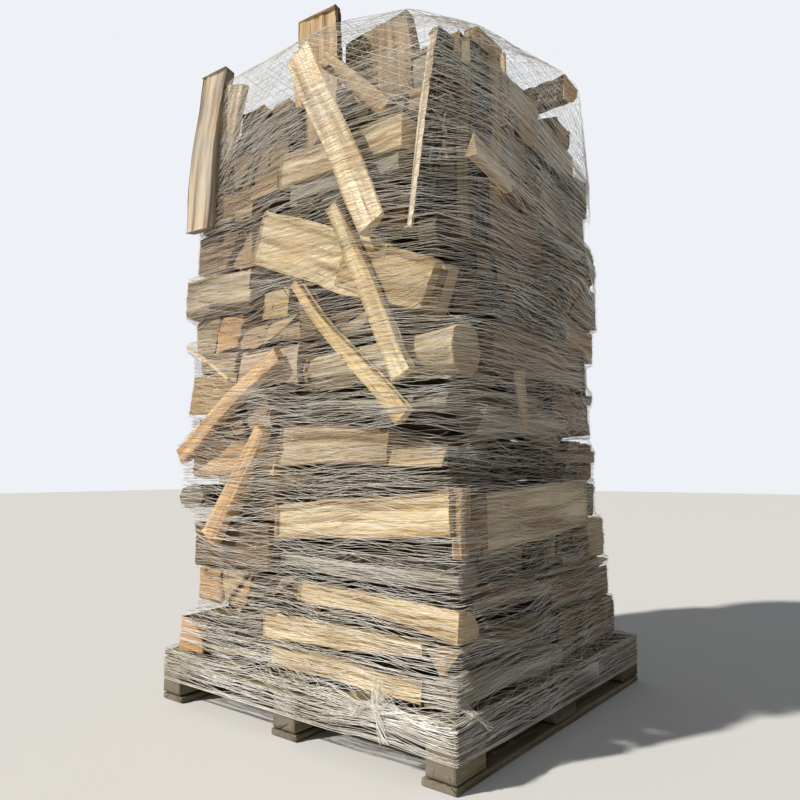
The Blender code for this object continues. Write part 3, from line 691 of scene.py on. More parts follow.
def wear_edges(shape, width, segments=2):
    """Round the sharp edges of a shape."""
    sharp = [edge for edge in shape.edges
             if len(edge.link_faces) == 2 and edge.calc_face_angle() > SHARP_ANGLE]
    bmesh.ops.bevel(shape, geom=sharp, offset=width, offset_type="OFFSET", segments=segments, profile=0.5,
                    affect="EDGES", material=-1, clamp_overlap=True)


def reaches_along(shape, middle, direction):
    """Return how far each of a shape's vertices lies from its middle in one direction."""
    return (shape_points(shape) - np.array(middle)) @ np.array(direction)


def slice_along(shape, middle, direction, step, stops=None):
    """Slice a shape square to a direction, evenly or at given distances."""
    reaches = reaches_along(shape, middle, direction)
    low, high = float(reaches.min()), float(reaches.max())
    if stops is None:
        count = max(1, round((high - low) / step))
        stops = [low + (high - low) * number / count for number in range(1, count)]
    for stop in stops:
        parts = shape.verts[:] + shape.edges[:] + shape.faces[:]
        bmesh.ops.bisect_plane(shape, geom=parts, plane_co=middle + direction * stop, plane_no=direction,
                               dist=SLICE_SNAP)


def slice_log(shape, axes, length, width, stops=None):
    """Slice a log square to its length, evenly or at given distances, and to its width and height."""
    middle, along, across, up = axes
    slice_along(shape, middle, along, length, stops)
    slice_along(shape, middle, across, width)
    slice_along(shape, middle, up, width)


def paint_wood(shape, axes, look, offset):
    """Give each vertex its grain coordinates and tone, and each face its material."""
    middle, along, across, up = axes
    tone, weather, bark_side, bark_reach = look
    bark_side = Vector(bark_side).normalized()
    grain_layer = shape.verts.layers.float_vector.get("grain") or shape.verts.layers.float_vector.new("grain")
    tone_layer = shape.verts.layers.float_color.get("tone") or shape.verts.layers.float_color.new("tone")
    weather_layer = shape.verts.layers.float.get("weather") or shape.verts.layers.float.new("weather")
    reaches = reaches_along(shape, middle, bark_side)
    pith = middle - bark_side * (float(reaches.max()) * 0.9 + PITH_DEPTH)
    for vert in shape.verts:
        place = vert.co - pith
        vert[grain_layer] = (place.dot(along) + offset, place.dot(across), place.dot(up))
        vert[tone_layer] = (*tone, 1.0)
        vert[weather_layer] = weather
    shape.normal_update()
    for face in shape.faces:
        face.smooth = True
        if abs(face.normal.dot(along)) > END_FACING:
            face.material_index = END_FACE
        elif face.normal.dot(bark_side) > bark_reach:
            face.material_index = BARK_FACE
        else:
            face.material_index = SPLIT_FACE


def step_noise(value, steps):
    """Return noise pulled towards a few even steps."""
    low = math.floor(value * steps) / steps
    share = value * steps - math.floor(value * steps)
    return low + min(1.0, share * share * 3.0) / steps


def thinness(shape, axes):
    """Return how much of the full roughness a log of this thickness takes."""
    points = shape_points(shape)
    spans = [float(np.ptp(points @ np.array(side))) for side in axes[2:]]
    return min(MOST_ROUGHNESS, max(LEAST_ROUGHNESS, min(spans) / FULL_ROUGHNESS_AT))


def bow(shape, axes, offset, reach, swell):
    """Bow a log a little and let it swell and thin along its length, the way wood grows."""
    middle, along, across, up = axes
    for vert in shape.verts:
        place = vert.co - middle
        x = place.dot(along)
        side = noise.noise(Vector((x * BOW_RATE + offset, 1.7, 0)))
        rise = noise.noise(Vector((x * BOW_RATE + offset, 5.9, 0)))
        growth = noise.noise(Vector((x * SWELL_RATE + offset, 9.3, 0)))
        vert.co += (across * side + up * rise) * reach + (place - along * x) * growth * swell


def grain_noise(x, y, z, rates):
    """Return noise in a log, at one rate along the grain and another across it."""
    return noise.noise(Vector((x * rates[0], y * rates[1], z * rates[1])))


def split_depth(x, y, z):
    """Return how deep a split face lies: slow waves, torn ledges and fine fibres."""
    sizes = wood_settings()
    wave = grain_noise(x, y, z, WAVE_RATES)
    ledge = step_noise(grain_noise(x, y, z, LEDGE_RATES), LEDGE_STEPS)
    fine = grain_noise(x, y, z, FINE_RATES)
    return (sizes.wave_depth * (0.55 + 0.55 * wave) + sizes.ledge_depth * (0.6 + 0.8 * ledge)
            + FINE_DEPTH * (1 + fine))


def bark_depth(x, y, z):
    """Return how deep the bark lies: furrows between plates, and lumps."""
    furrow = abs(grain_noise(x, y, z, FURROW_RATES))
    lump = grain_noise(x, y, z, LUMP_RATES)
    return wood_settings().bark_depth * max(0.0, 1 - 3.2 * furrow) + LUMP_DEPTH * (0.5 + 0.5 * lump)


def roughen(shape, axes, offset, strength):
    """Press a log's surface in: waves and ledges where it split, furrows in its bark, marks on its ends."""
    middle, along, across, up = axes
    shape.normal_update()
    moves = []
    for vert in shape.verts:
        place = vert.co - middle
        x, y, z = place.dot(along) + offset, place.dot(across), place.dot(up)
        kinds = {face.material_index for face in vert.link_faces}
        sharpness = 1.0 - max(0.0, min(face.normal.dot(vert.normal) for face in vert.link_faces))
        if kinds == {END_FACE}:
            depth = END_DEPTH * (1 + noise.noise(Vector((offset, y * END_RATE, z * END_RATE))))
        elif BARK_FACE in kinds:
            depth = bark_depth(x, y, z)
        else:
            depth = split_depth(x, y, z)
        if END_FACE in kinds and len(kinds) > 1:
            depth *= 0.6
        chip = noise.noise(Vector((x * CHIP_RATES[0], y * CHIP_RATES[1] + 3.7, z * CHIP_RATES[1])))
        depth += sharpness * CHIP_DEPTH * max(0.0, chip)
        moves.append(max(0.0, depth) * strength)
    normals = [vert.normal.copy() for vert in shape.verts]
    for vert, normal, depth in zip(shape.verts, normals, moves):
        vert.co -= normal * depth


def weather_log(shape, axes, look, offset, roughness, bend):
    """Paint a log, roughen it as far as its thickness lets it be, and bow it."""
    paint_wood(shape, axes, look, offset)
    roughen(shape, axes, offset, thinness(shape, axes) * roughness)
    bow(shape, axes, offset, *bend)


def add_piece(name, shape, materials, nodes):
    """Turn a shape into a piece of the object that stands for some CAD nodes."""
    mesh = bpy.data.meshes.new(name)
    shape.to_mesh(mesh)
    shape.free()
    for material in materials:
        mesh.materials.append(shared_material(material))
    mesh.set_sharp_from_angle(angle=SMOOTH_ANGLE)
    piece = bpy.data.objects.new(name, mesh)
    bpy.context.scene.collection.objects.link(piece)
    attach(piece, "root")
    if nodes:
        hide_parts(*nodes)
    return piece


def dress_log(name, number):
    """Turn one CAD log into a rough split log."""
    sizes = wood_settings()
    tone, weather, bark_side, bark_reach = LOG_LOOKS[name]
    shape = node_shape(name)
    axes = log_axes(shape_points(shape))
    wear_edges(shape, sizes.edge_wear)
    slice_log(shape, axes, sizes.slice_length, sizes.slice_width)
    weather_log(shape, axes, (WOOD_TONES[tone], weather, bark_side, bark_reach), 3.7 * number, 1.0, LOG_BOW)
    return add_piece(name + "_wood", shape, WOOD_MATERIALS, (name,))


def dress_board(name, number):
    """Turn one CAD board or block of the pallet into worn sawn timber."""
    chance = random.Random(number)
    shape = node_shape(name)
    points = shape_points(shape)
    low, high = points.min(axis=0), points.max(axis=0)
    sides = sorted(range(3), key=lambda side: high[side] - low[side])
    directions = [Vector([float(side == other) for other in range(3)]) for side in range(3)]
    along, across, up = (directions[sides[n]] for n in (2, 1, 0))
    axes = (Vector((low + high) / 2), along, across, up)
    slice_log(shape, axes, *TIMBER_SLICES)
    offset = 2.9 * number + 40
    shade = chance.uniform(0.8, 1.15)
    tone = tuple(value * shade for value in WOOD_TONES["pallet"])
    paint_wood(shape, axes, (tone, 0.7, -up, NO_BARK), offset)
    roughen(shape, axes, offset, TIMBER_ROUGHNESS)
    return add_piece(name + "_timber", shape, TIMBER_MATERIALS, (name,))


def dress_stick(name, number):
    """Make one thin stick or strip that lies loose between the logs and the netting."""
    tone, weather, first, last, (across_size, up_size) = STICKS[name]
    first, last = Vector(first), Vector(last)
    along = (last - first).normalized()
    up = square_up(along)
    across = along.cross(up)
    if abs(along.z) >= STEEP:
        across, up = up, across
    middle = (first + last) / 2
    shape = bmesh.new()
    bmesh.ops.create_cube(shape, size=1.0)
    chance = random.Random(number)
    for vert in shape.verts:
        vert.co.y *= chance.uniform(0.70, 1.0)
        vert.co.z *= chance.uniform(0.70, 1.0)
        vert.co.x *= chance.uniform(0.95, 1.0)
    bmesh.ops.scale(shape, vec=((last - first).length, across_size, up_size), verts=shape.verts)
    turn = Matrix((along, across, up)).transposed().to_4x4()
    bmesh.ops.transform(shape, matrix=Matrix.Translation(middle) @ turn, verts=shape.verts)
    if turn.determinant() < 0:
        bmesh.ops.reverse_faces(shape, faces=shape.faces)
    axes = (middle, along, across, up)
    wear_edges(shape, min(across_size, up_size) * STICK_EDGE_SHARE)
    slice_log(shape, axes, *STICK_SLICES)
    weather_log(shape, axes, (WOOD_TONES[tone], weather, across, NO_BARK), 5.3 * number, STICK_ROUGHNESS,
                STICK_BOW)
    return add_piece(name, shape, WOOD_MATERIALS, ())


# Tiers of logs behind the single ones

def stretch_boxes():
    """Return boxes round short stretches of every single log."""
    boxes = []
    for name in LOG_LOOKS:
        shape = node_shape(name)
        middle, along, _, _ = log_axes(shape_points(shape))
        slice_along(shape, middle, along, STRETCH_LENGTH)
        points = shape_points(shape)
        reaches = reaches_along(shape, middle, along)
        shape.free()
        edges = np.linspace(reaches.min() - 0.001, reaches.max() + 0.001, STRETCHES + 1)
        for first, last in zip(edges, edges[1:]):
            inside = points[(reaches >= first - STRETCH_MARGIN) & (reaches <= last + STRETCH_MARGIN)]
            if len(inside):
                boxes.append((inside.min(axis=0), inside.max(axis=0)))
    return boxes


def free_stretches(low, high, axis, boxes, taken=()):
    """Return the stretches of a box, along one axis, that keep clear of the other boxes."""
    others = [number for number in range(3) if number != axis]
    taken = list(taken)
    for box_low, box_high in boxes:
        if all(box_low[n] - TIER_CLEARANCE < high[n] and box_high[n] + TIER_CLEARANCE > low[n]
               for n in others):
            taken.append((box_low[axis] - TIER_CLEARANCE, box_high[axis] + TIER_CLEARANCE))
    found = []
    reached = low[axis]
    for first, last in sorted(taken) + [(high[axis], high[axis])]:
        stop = min(first, high[axis])
        if stop - reached > TIER_SHORTEST:
            found.append((reached, stop))
        reached = max(reached, last)
    return found


def place_logs(outline, axis, first, last, boxes):
    """Fill one place of a tier with a whole log, and with flatter ones where single logs are in the way."""
    foot, top = min(p[1] for p in outline), max(p[1] for p in outline)
    flat = [(across, foot + (up - foot) * TIER_LOW_SHARE) for across, up in outline]
    raised = [(across, top - (top - up) * TIER_LOW_SHARE) for across, up in outline]
    logs = []
    taken = []
    for shape in (outline, flat, raised):
        low = [min(p[0] for p in shape)] * 2 + [min(p[1] for p in shape)]
        high = [max(p[0] for p in shape)] * 2 + [max(p[1] for p in shape)]
        low[axis], high[axis] = first, last
        stretches = free_stretches(low, high, axis, boxes, taken)
        logs += [(axis, shape, begin, finish) for begin, finish in stretches]
        taken += stretches
    return logs


def tier_sections(chance):
    """Return the sections of one tier's logs: shares of its width at their foot and top, and their split."""
    count = round(2 * TIER_REACH / TIER_LOG_WIDTH)
    shift = TIER_EDGE_SHIFT / count
    foot, top = ([0.0] + [n / count + chance.uniform(-shift, shift) for n in range(1, count)] + [1.0]
                 for _ in range(2))
    sections = []
    for n in range(count):
        corners = [(foot[n], 0), (foot[n + 1], 0), (top[n + 1], 1), (top[n], 1)]
        if chance.random() < TIER_SPLIT_SHARE:
            sections.append(corners[:3])
            sections.append([corners[0]] + corners[2:])
        else:
            sections.append(corners)
    return sections


def tier_logs():
    """Lay out the logs behind the single ones and return them, tier by tier, as outlines and ends."""
    chance = random.Random(TIER_SEED)
    boxes = stretch_boxes()
    stack_starts = [first for first, _ in STACK_TIERS.values()]
    tiers = []
    floor = LOAD_Z + 2 * TOUCH_GAP + TIER_OVERLAP
    for number, (height, insets) in enumerate(zip(TIER_HEIGHTS, TIER_INSETS)):
        left, right, front, back = insets
        edges = ((-TIER_REACH + left, TIER_REACH - right), (-TIER_REACH + front, TIER_REACH - back))
        axis = number % 2
        across_low, across_high = edges[1 - axis]
        logs = []
        for section in tier_sections(chance):
            outline = [(across_low + share * (across_high - across_low), floor + level * height)
                       for share, level in section]
            join = chance.uniform(-TIER_JOIN_SHIFT, TIER_JOIN_SHIFT)
            low_end = edges[axis][0] + TIER_END_STEP * chance.random()
            high_end = edges[axis][1] - TIER_END_STEP * chance.random()
            for first, last in ((low_end, join), (join, high_end)):
                if number < len(TIER_HEIGHTS) - 1 or chance.random() < TOP_TIER_SHARE:
                    logs += place_logs(outline, axis, first, last, boxes)
        tiers.append(logs)
        floor += height
        if number + 1 in stack_starts:
            floor += STACK_GAP
    return tiers


def stack_log(log, chance):
    """Make one log of a tier, a little smaller than its place, with one rounded side of bark on some."""
    axis, outline, begin, finish = log
    shape = bmesh.new()
    centre = Vector((sum(p[0] for p in outline) / len(outline), sum(p[1] for p in outline) / len(outline)))
    shrink = chance.uniform(*STACK_SHRINK)
    turn = Matrix.Rotation(math.radians(chance.uniform(-STACK_TURN, STACK_TURN)), 2)
    corners = []
    for point, other in zip(outline, outline[1:] + outline[:1]):
        between = (Vector(point) + Vector(other)) / 2
        corners += [Vector(point), between + (between - centre).normalized() * chance.uniform(*STACK_BULGE)]
    ends = []
    for point in corners:
        across, up = centre + turn @ ((point - centre) * shrink)
        ends.append(shape.verts.new((begin, across, up) if axis == 0 else (across, begin, up)))
    face = shape.faces.new(ends)
    grown = bmesh.ops.extrude_face_region(shape, geom=[face])["geom"]
    moved = [part for part in grown if isinstance(part, bmesh.types.BMVert)]
    step = (finish - begin, 0, 0) if axis == 0 else (0, finish - begin, 0)
    bmesh.ops.translate(shape, vec=step, verts=moved)
    bmesh.ops.recalc_face_normals(shape, faces=shape.faces)
    if shape.calc_volume(signed=True) < 0:
        bmesh.ops.reverse_faces(shape, faces=shape.faces)
    along = Vector((1, 0, 0)) if axis == 0 else Vector((0, 1, 0))
    up = Vector((0, 0, 1))
    middle = Vector(shape_points(shape).mean(axis=0))
    askew = (Matrix.Rotation(math.radians(chance.uniform(-STACK_ASKEW, STACK_ASKEW)), 4, up)
             @ Matrix.Rotation(math.radians(chance.uniform(-STACK_ASKEW, STACK_ASKEW)), 4, along.cross(up)))
    bmesh.ops.transform(shape, matrix=askew, verts=shape.verts, space=Matrix.Translation(-middle))
    shape.normal_update()
    along, up = askew.to_3x3() @ along, askew.to_3x3() @ up
    across = along.cross(up)
    axes = (middle, along, across, up)
    sides = [face.normal.copy() for face in shape.faces if abs(face.normal.dot(along)) < 0.5]
    sides.sort(key=lambda side: (math.atan2(side.dot(up), side.dot(across)) + 0.6) % math.tau)
    bark_side = chance.choice(sides)
    long_edges = [edge for edge in shape.edges
                  if abs((edge.verts[1].co - edge.verts[0].co).normalized().dot(along)) > STEEP]
    bmesh.ops.bevel(shape, geom=long_edges, offset=chance.uniform(*STACK_EDGE_WEAR), offset_type="OFFSET",
                    segments=2, profile=0.5, affect="EDGES", material=-1, clamp_overlap=True)
    return shape, axes, bark_side


def spot_tone(shape):
    """Return the tone of the spot that a stacked log reaches, if there is one."""
    points = shape_points(shape)
    low, high = points.min(axis=0) - SPOT_REACH, points.max(axis=0) + SPOT_REACH
    for place, tone in STACK_SPOTS:
        if (low <= place).all() and (high >= place).all():
            return tone
    return None


def stack_stops(axes, shape):
    """Return where a tier's log is sliced: closely near the load's outside and hardly inside it."""
    middle, along, _, _ = axes
    reaches = reaches_along(shape, middle, along)
    low, high = float(reaches.min()), float(reaches.max())
    start = middle.dot(along)
    stops = []
    for reach in STACK_END_SLICES:
        if start + low < -STACK_OUTER_END and reach < high - low:
            stops.append(low + reach)
        if start + high > STACK_OUTER_END and reach < high - low:
            stops.append(high - reach)
    return sorted(stops)


def dress_stack(name, tiers, first_number):
    """Make one stack's logs as one piece."""
    chance = random.Random(first_number)
    whole = bmesh.new()
    for number, log in enumerate([log for tier in tiers for log in tier], start=first_number):
        shape, axes, bark_side = stack_log(log, chance)
        middle, along, _, _ = axes
        outer = max(abs(value) for value in (middle - along * middle.dot(along)).xy) > STACK_OUTER_ROW
        slice_log(shape, axes, *STACK_SLICES, None if outer else stack_stops(axes, shape))
        spot = spot_tone(shape)
        tone = WOOD_TONES[spot or chance.choice(STACK_TONES)]
        shade = 1.0 if spot else chance.uniform(*STACK_SHADES)
        tone = tuple(value * shade for value in tone)
        reach = chance.choice(STACK_BARK)
        look = (tone, chance.choice(STACK_GREYNESS), bark_side, reach)
        weather_log(shape, axes, look, 3.1 * number, 1.0, STACK_BOW)
        part = bpy.data.meshes.new("part")
        shape.to_mesh(part)
        shape.free()
        whole.from_mesh(part)
        bpy.data.meshes.remove(part)
    return add_piece(name + "_logs", whole, WOOD_MATERIALS, (name,))


# Netting

def load_points():
    """Return every point of the pallet and the load that the netting goes round."""
    points = []
    for item in bpy.context.scene.objects:
        wooden = item.name.startswith("stick_") or item.name.endswith(("_wood", "_timber", "_logs"))
        if wooden and not item.name.startswith(UNWRAPPED):
            flat = np.zeros(len(item.data.vertices) * 3, np.float32)
            item.data.vertices.foreach_get("co", flat)
            points.append(flat.reshape(-1, 3))
    return np.concatenate(points).astype(float)


def hull_reach(points, angles):
    """Return how far a tight wrap round the points stands from the load's middle at each angle."""
    directions = np.column_stack((np.cos(angles), np.sin(angles)))
    furthest = np.argmax(points[:, :2] @ directions.T, axis=0)
    keep = [number for number, other in zip(furthest, np.roll(furthest, 1)) if number != other]
    corners = points[keep, :2]
    sides = np.roll(corners, -1, axis=0) - corners
    lengths = np.hypot(sides[:, 0], sides[:, 1])
    normals = np.column_stack((sides[:, 1], -sides[:, 0])) / lengths[:, None]
    distances = (normals * corners).sum(axis=1)
    facing = normals @ directions.T
    reach = np.where(facing > 0.01, distances[:, None] / np.maximum(facing, 0.01), 10.0)
    return reach.min(axis=0)


def over_levels(table, reach, gather):
    """Return a table in which each level gathers the levels near it."""
    return np.array([gather(table[max(0, n - reach):n + reach + 1], axis=0) for n in range(len(table))])


class NetSurface:
    """The surface that the netting lies on, as a table of reach by height and angle."""

    def __init__(self, points, foot, top):
        self.foot = foot
        self.levels = np.arange(foot, top + NET_LEVEL_STEP, NET_LEVEL_STEP)
        self.angles = np.linspace(0, math.tau, NET_ANGLES, endpoint=False)
        points = points[np.argsort(points[:, 2])]
        heights = points[:, 2]
        rows = []
        for level in self.levels:
            first = np.searchsorted(heights, level - NET_WINDOW)
            last = np.searchsorted(heights, level + NET_WINDOW)
            rows.append(hull_reach(points[first:last], self.angles) if last - first > 8 else rows[-1])
        table = np.array(rows)
        wide = over_levels(table, NET_MARGIN, np.max)
        closed = over_levels(wide, NET_MARGIN, np.min)
        self.table = np.maximum(table, over_levels(closed, 1, np.mean))

    def point(self, angle, height, lift=0.0):
        """Return points of the surface at angles and heights, lifted off it a little."""
        row = np.clip((height - self.foot) / NET_LEVEL_STEP, 0, len(self.levels) - 1.001)
        column = (angle % math.tau) / math.tau * NET_ANGLES
        row_below = np.floor(row).astype(int)
        column_below = np.floor(column).astype(int)
        up = row - row_below
        on = column - column_below
        next_column = (column_below + 1) % NET_ANGLES
        column_below = column_below % NET_ANGLES
        low, high = (self.table[level, column_below] * (1 - on) + self.table[level, next_column] * on
                     for level in (row_below, row_below + 1))
        reach = low * (1 - up) + high * up + lift
        return np.column_stack((reach * np.cos(angle), reach * np.sin(angle), height))


def thread_profile(radius):
    """Return a three-sided curve that the threads are swept with."""
    curve = bpy.data.curves.new("thread_section", "CURVE")
    curve.dimensions = "2D"
    curve.fill_mode = "NONE"
    spline = curve.splines.new("POLY")
    spline.points.add(2)
    for number, point in enumerate(spline.points):
        angle = math.tau * number / 3
        point.co = (radius * math.cos(angle), radius * math.sin(angle), 0, 1)
    spline.use_cyclic_u = True
    item = bpy.data.objects.new("thread_section", curve)
    bpy.context.scene.collection.objects.link(item)
    return item


def add_threads(name, paths, radius, closed):
    """Sweep a thread along each path, all as one piece of the netting."""
    profile = thread_profile(radius)
    curve = bpy.data.curves.new(name, "CURVE")
    curve.dimensions = "3D"
    curve.bevel_mode = "OBJECT"
    curve.bevel_object = profile
    curve.use_fill_caps = not closed
    for path in paths:
        spline = curve.splines.new("POLY")
        spline.points.add(len(path) - 1)
        flat = np.ones((len(path), 4))
        flat[:, :3] = path
        spline.points.foreach_set("co", flat.ravel())
        spline.use_cyclic_u = closed
    holder = bpy.data.objects.new(name + "_path", curve)
    bpy.context.scene.collection.objects.link(holder)
    bpy.context.view_layer.update()
    mesh = bpy.data.meshes.new_from_object(holder.evaluated_get(bpy.context.evaluated_depsgraph_get()))
    for item in (holder, profile):
        data = item.data
        bpy.data.objects.remove(item)
        bpy.data.curves.remove(data)
    shape = bmesh.new()
    shape.from_mesh(mesh)
    bpy.data.meshes.remove(mesh)
    bmesh.ops.recalc_face_normals(shape, faces=shape.faces)
    for face in shape.faces:
        face.smooth = True
        face.material_index = 0
    return add_piece(name, shape, ("netting",), ("net_wrap",))


def simplify(path, bend=0.0006, longest=8):
    """Drop the points of a closed path where it runs straight."""
    turn = np.linalg.norm(np.roll(path, 1, axis=0) - 2 * path + np.roll(path, -1, axis=0), axis=1)
    keep = (turn > bend) | (np.arange(len(path)) % longest == 0)
    return path[keep]


class NetTurn:
    """One turn of a strand round the load: its height at each angle."""

    def __init__(self, height, tilt, heading, seed, wander):
        self.height = height
        self.tilt = tilt
        self.heading = heading
        self.seed = seed
        self.wander = wander

    def heights(self, angles):
        """Return the turn's height at each angle."""
        heights = self.height + self.tilt * np.cos(angles - self.heading)
        for rate, shift, share in NET_WAVES:
            wave = [noise.noise(Vector((math.cos(a) * rate, math.sin(a) * rate, self.seed + shift)))
                    for a in angles]
            heights = heights + self.wander * share * np.array(wave)
        for angle, level, round_reach, up_reach, share in NET_PINCHES:
            away = np.angle(np.exp(1j * (angles - math.radians(angle)))) / math.radians(round_reach)
            near = np.exp(-away ** 2 - ((heights - level) / up_reach) ** 2)
            heights = heights + (level - heights) * share * near
        return np.maximum(heights, NET_FOOT_Z)


def net_turns(layer, gap, low, high, tilt, heading, wander=NET_WANDER):
    """Return one layer's turns from low to high, which lie flatter near its foot and its top."""
    turns = []
    count = round((high - low) / gap)
    for number in range(count + 1):
        share = number / count
        drift = noise.noise(Vector((number * 0.55, layer * 7.1, 0)))
        height = low + (high - low) * share + 0.60 * gap * drift
        room = max(0.0, min(1.0, (height - NET_FOOT_Z) / 0.12, (high - height) / 0.10))
        swing = tilt * (0.45 + noise.noise(Vector((share * 5.0, layer * 3.3, 2.0))) * 1.6) * room
        turns.append(NetTurn(height, swing, heading + share * NET_TWIST, layer * 13.0 + share * 9.0,
                             wander * max(0.15, room)))
    return turns


def turn_path(surface, turn, lift):
    """Return a closed path round the load for one turn."""
    angles = surface.angles
    return simplify(surface.point(angles, turn.heights(angles), lift))


def tie_path(surface, lower, upper, pitch, lift, chance):
    """Return the zigzag between two turns."""
    count = max(8, round(NET_LENGTH / pitch)) * 2
    turns = np.arange(count) + np.array([chance.uniform(-0.35, 0.35) for _ in range(count)])
    stops = np.arange(count * TIE_STEPS) / TIE_STEPS
    angles = np.interp(stops, np.arange(count + 1), np.append(turns, count + turns[0])) * math.tau / count
    below = lower.heights(angles)
    above = upper.heights(angles)
    share = np.abs((stops + 1) % 2 - 1)
    return surface.point(angles, below * share + above * (1 - share), lift)


def hair_path(surface, chance):
    """Return one short loose thread near the netting."""
    share = np.linspace(0, 1, 5)
    length = chance.uniform(0.02, 0.09)
    slope = chance.gauss(0, 0.5)
    angle = chance.uniform(0, math.tau) + share * length / 0.5 * math.cos(slope)
    height = chance.uniform(0.07, NET_TOP_Z) + share * length * math.sin(slope)
    height = height + chance.uniform(-0.012, 0.012) * np.sin(share * math.pi)
    lift = 0.002 + chance.uniform(0.0, 0.005) * np.sin(share * math.pi)
    return surface.point(angle, np.maximum(height, NET_FOOT_Z), lift)


def bunch_paths(surface, bunch, chance):
    """Return the threads of one rope-like bunch of netting."""
    first_angle, first_height, last_angle, last_height, count, spread = bunch
    share = np.linspace(0, 1, 16)
    waist = 0.35 + 1.1 * np.abs(share - 0.5)
    paths = []
    for number in range(count):
        phase = math.tau * number / count
        turn = phase + share * chance.uniform(3, 6)
        reach = spread * waist * chance.uniform(0.4, 1.0)
        angle = np.radians(first_angle + (last_angle - first_angle) * share) + reach * np.cos(turn) / 0.6
        height = first_height + (last_height - first_height) * share + reach * np.sin(turn)
        lift = 0.004 + 0.4 * reach * (1 + np.cos(turn + 1.0))
        paths.append(surface.point(angle, np.maximum(height, NET_FOOT_Z), lift))
    return paths


def veil_shape(points):
    """Return the tight tent that the netting makes over the load's top."""
    upper = points[points[:, 2] > VEIL_FOOT_Z].copy()
    upper[:, 2] = np.minimum(upper[:, 2], VEIL_CLIP_Z)
    rings = [(angle, rise) for angle in np.linspace(0, math.tau, 48, endpoint=False)
             for rise in np.linspace(-0.4, 1.5, 14)]
    directions = np.array([(math.cos(a) * math.cos(r), math.sin(a) * math.cos(r), math.sin(r))
                           for a, r in rings])
    furthest = np.unique(np.argmax(upper @ directions.T, axis=0))
    shape = bmesh.new()
    for point in upper[furthest]:
        shape.verts.new(point)
    bmesh.ops.convex_hull(shape, input=shape.verts[:])
    return shape


def veil_turn(shape, centre, normal, lift, seed):
    """Return the closed path along which a plane cuts the veil's tent."""
    cut = shape.copy()
    parts = cut.verts[:] + cut.edges[:] + cut.faces[:]
    found = bmesh.ops.bisect_plane(cut, geom=parts, plane_co=centre, plane_no=normal, dist=VEIL_SNAP)
    corners = np.array([part.co[:] for part in found["geom_cut"] if isinstance(part, bmesh.types.BMVert)])
    cut.free()
    if len(corners) < 3:
        return None
    side = normal.orthogonal().normalized()
    plane = np.column_stack((side, normal.cross(side)))
    flat = (corners - corners.mean(axis=0)) @ plane
    ring = corners[np.argsort(np.arctan2(flat[:, 1], flat[:, 0]))]
    steps = np.roll(ring, -1, axis=0) - ring
    lengths = np.linalg.norm(steps, axis=1)[:, None]
    middle = ((ring + steps / 2) * lengths).sum(axis=0) / lengths.sum()
    flat = (ring - middle) @ plane
    first = np.argmin(np.arctan2(flat[:, 1], flat[:, 0]))
    ring = np.roll(ring, -first, axis=0)
    rises = np.roll(flat[:, 1], -first)
    start = ring[-1] + (ring[0] - ring[-1]) * rises[-1] / (rises[-1] - rises[0])
    closed = np.vstack((start, ring, start))
    reached = np.concatenate(([0.0], np.cumsum(np.linalg.norm(np.diff(closed, axis=0), axis=1))))
    if reached[-1] < VEIL_SHORTEST:
        return None
    stops = np.linspace(0, reached[-1], round(reached[-1] / VEIL_STEP), endpoint=False)
    path = np.column_stack([np.interp(stops, reached, closed[:, number]) for number in range(3)])
    out = path - middle
    out /= np.linalg.norm(out, axis=1)[:, None]
    wave = np.array([noise.noise(Vector(point) * 9 + Vector((0, 0, seed))) for point in path])
    return path + out * lift + np.array(normal) * wave[:, None] * VEIL_WAVE


def veil_ties(first, second, chance):
    """Return the zigzag between two turns of the veil."""
    count = 2 * max(8, round(len(first) * VEIL_STEP / VEIL_TIE_PITCH))
    stops = [(number + chance.uniform(-0.3, 0.3)) / count for number in range(count)]
    points = []
    for number, stop in enumerate(stops):
        path = first if number % 2 == 0 else second
        points.append(path[int(stop * len(path)) % len(path)])
    return np.array(points)


def veil_paths(points, chance):
    """Return the veil's turns and the zigzags between them."""
    shape = veil_shape(points)
    turns = []
    ties = []
    for heading, tilt, first, last, count in VEIL_FAMILIES:
        lean = math.radians(tilt)
        way = math.radians(heading)
        normal = Vector((-math.sin(lean) * math.cos(way), -math.sin(lean) * math.sin(way), math.cos(lean)))
        before = None
        for number in range(count):
            share = (number + chance.uniform(-0.35, 0.35)) / count
            centre = Vector((0, 0, first + (last - first) * share))
            lift = VEIL_LIFT + chance.uniform(0, 0.002)
            path = veil_turn(shape, centre, normal, lift, heading + number * 0.13)
            if path is None:
                continue
            turns.append(path)
            if before is not None and chance.random() < VEIL_TIE_SHARE:
                ties.append(veil_ties(before, path, chance))
            before = path
    shape.free()
    return turns, ties


# Operators

class FIREWOOD_OT_pallet(bpy.types.Operator):
    """Turn the pallet's boards and blocks into worn sawn timber"""

    bl_idname = "firewood.pallet"
    bl_label = "Pallet Timber"

    def execute(self, context):
        for number, name in enumerate(PALLET_BOARDS + PALLET_BLOCKS):
            dress_board(name, number)
        return {"FINISHED"}


class FIREWOOD_OT_single_logs(bpy.types.Operator):
    """Turn each single log that shows into a rough split log"""

    bl_idname = "firewood.single_logs"
    bl_label = "Single Logs"

    def execute(self, context):
        for number, name in enumerate(LOG_LOOKS, start=wood_settings().seed):
            dress_log(name, number)
        return {"FINISHED"}


class FIREWOOD_OT_sticks(bpy.types.Operator):
    """Lay thin sticks and strips between the logs and the netting"""

    bl_idname = "firewood.sticks"
    bl_label = "Sticks"

    def execute(self, context):
        for number, name in enumerate(STICKS, start=wood_settings().seed):
            dress_stick(name, number)
        return {"FINISHED"}


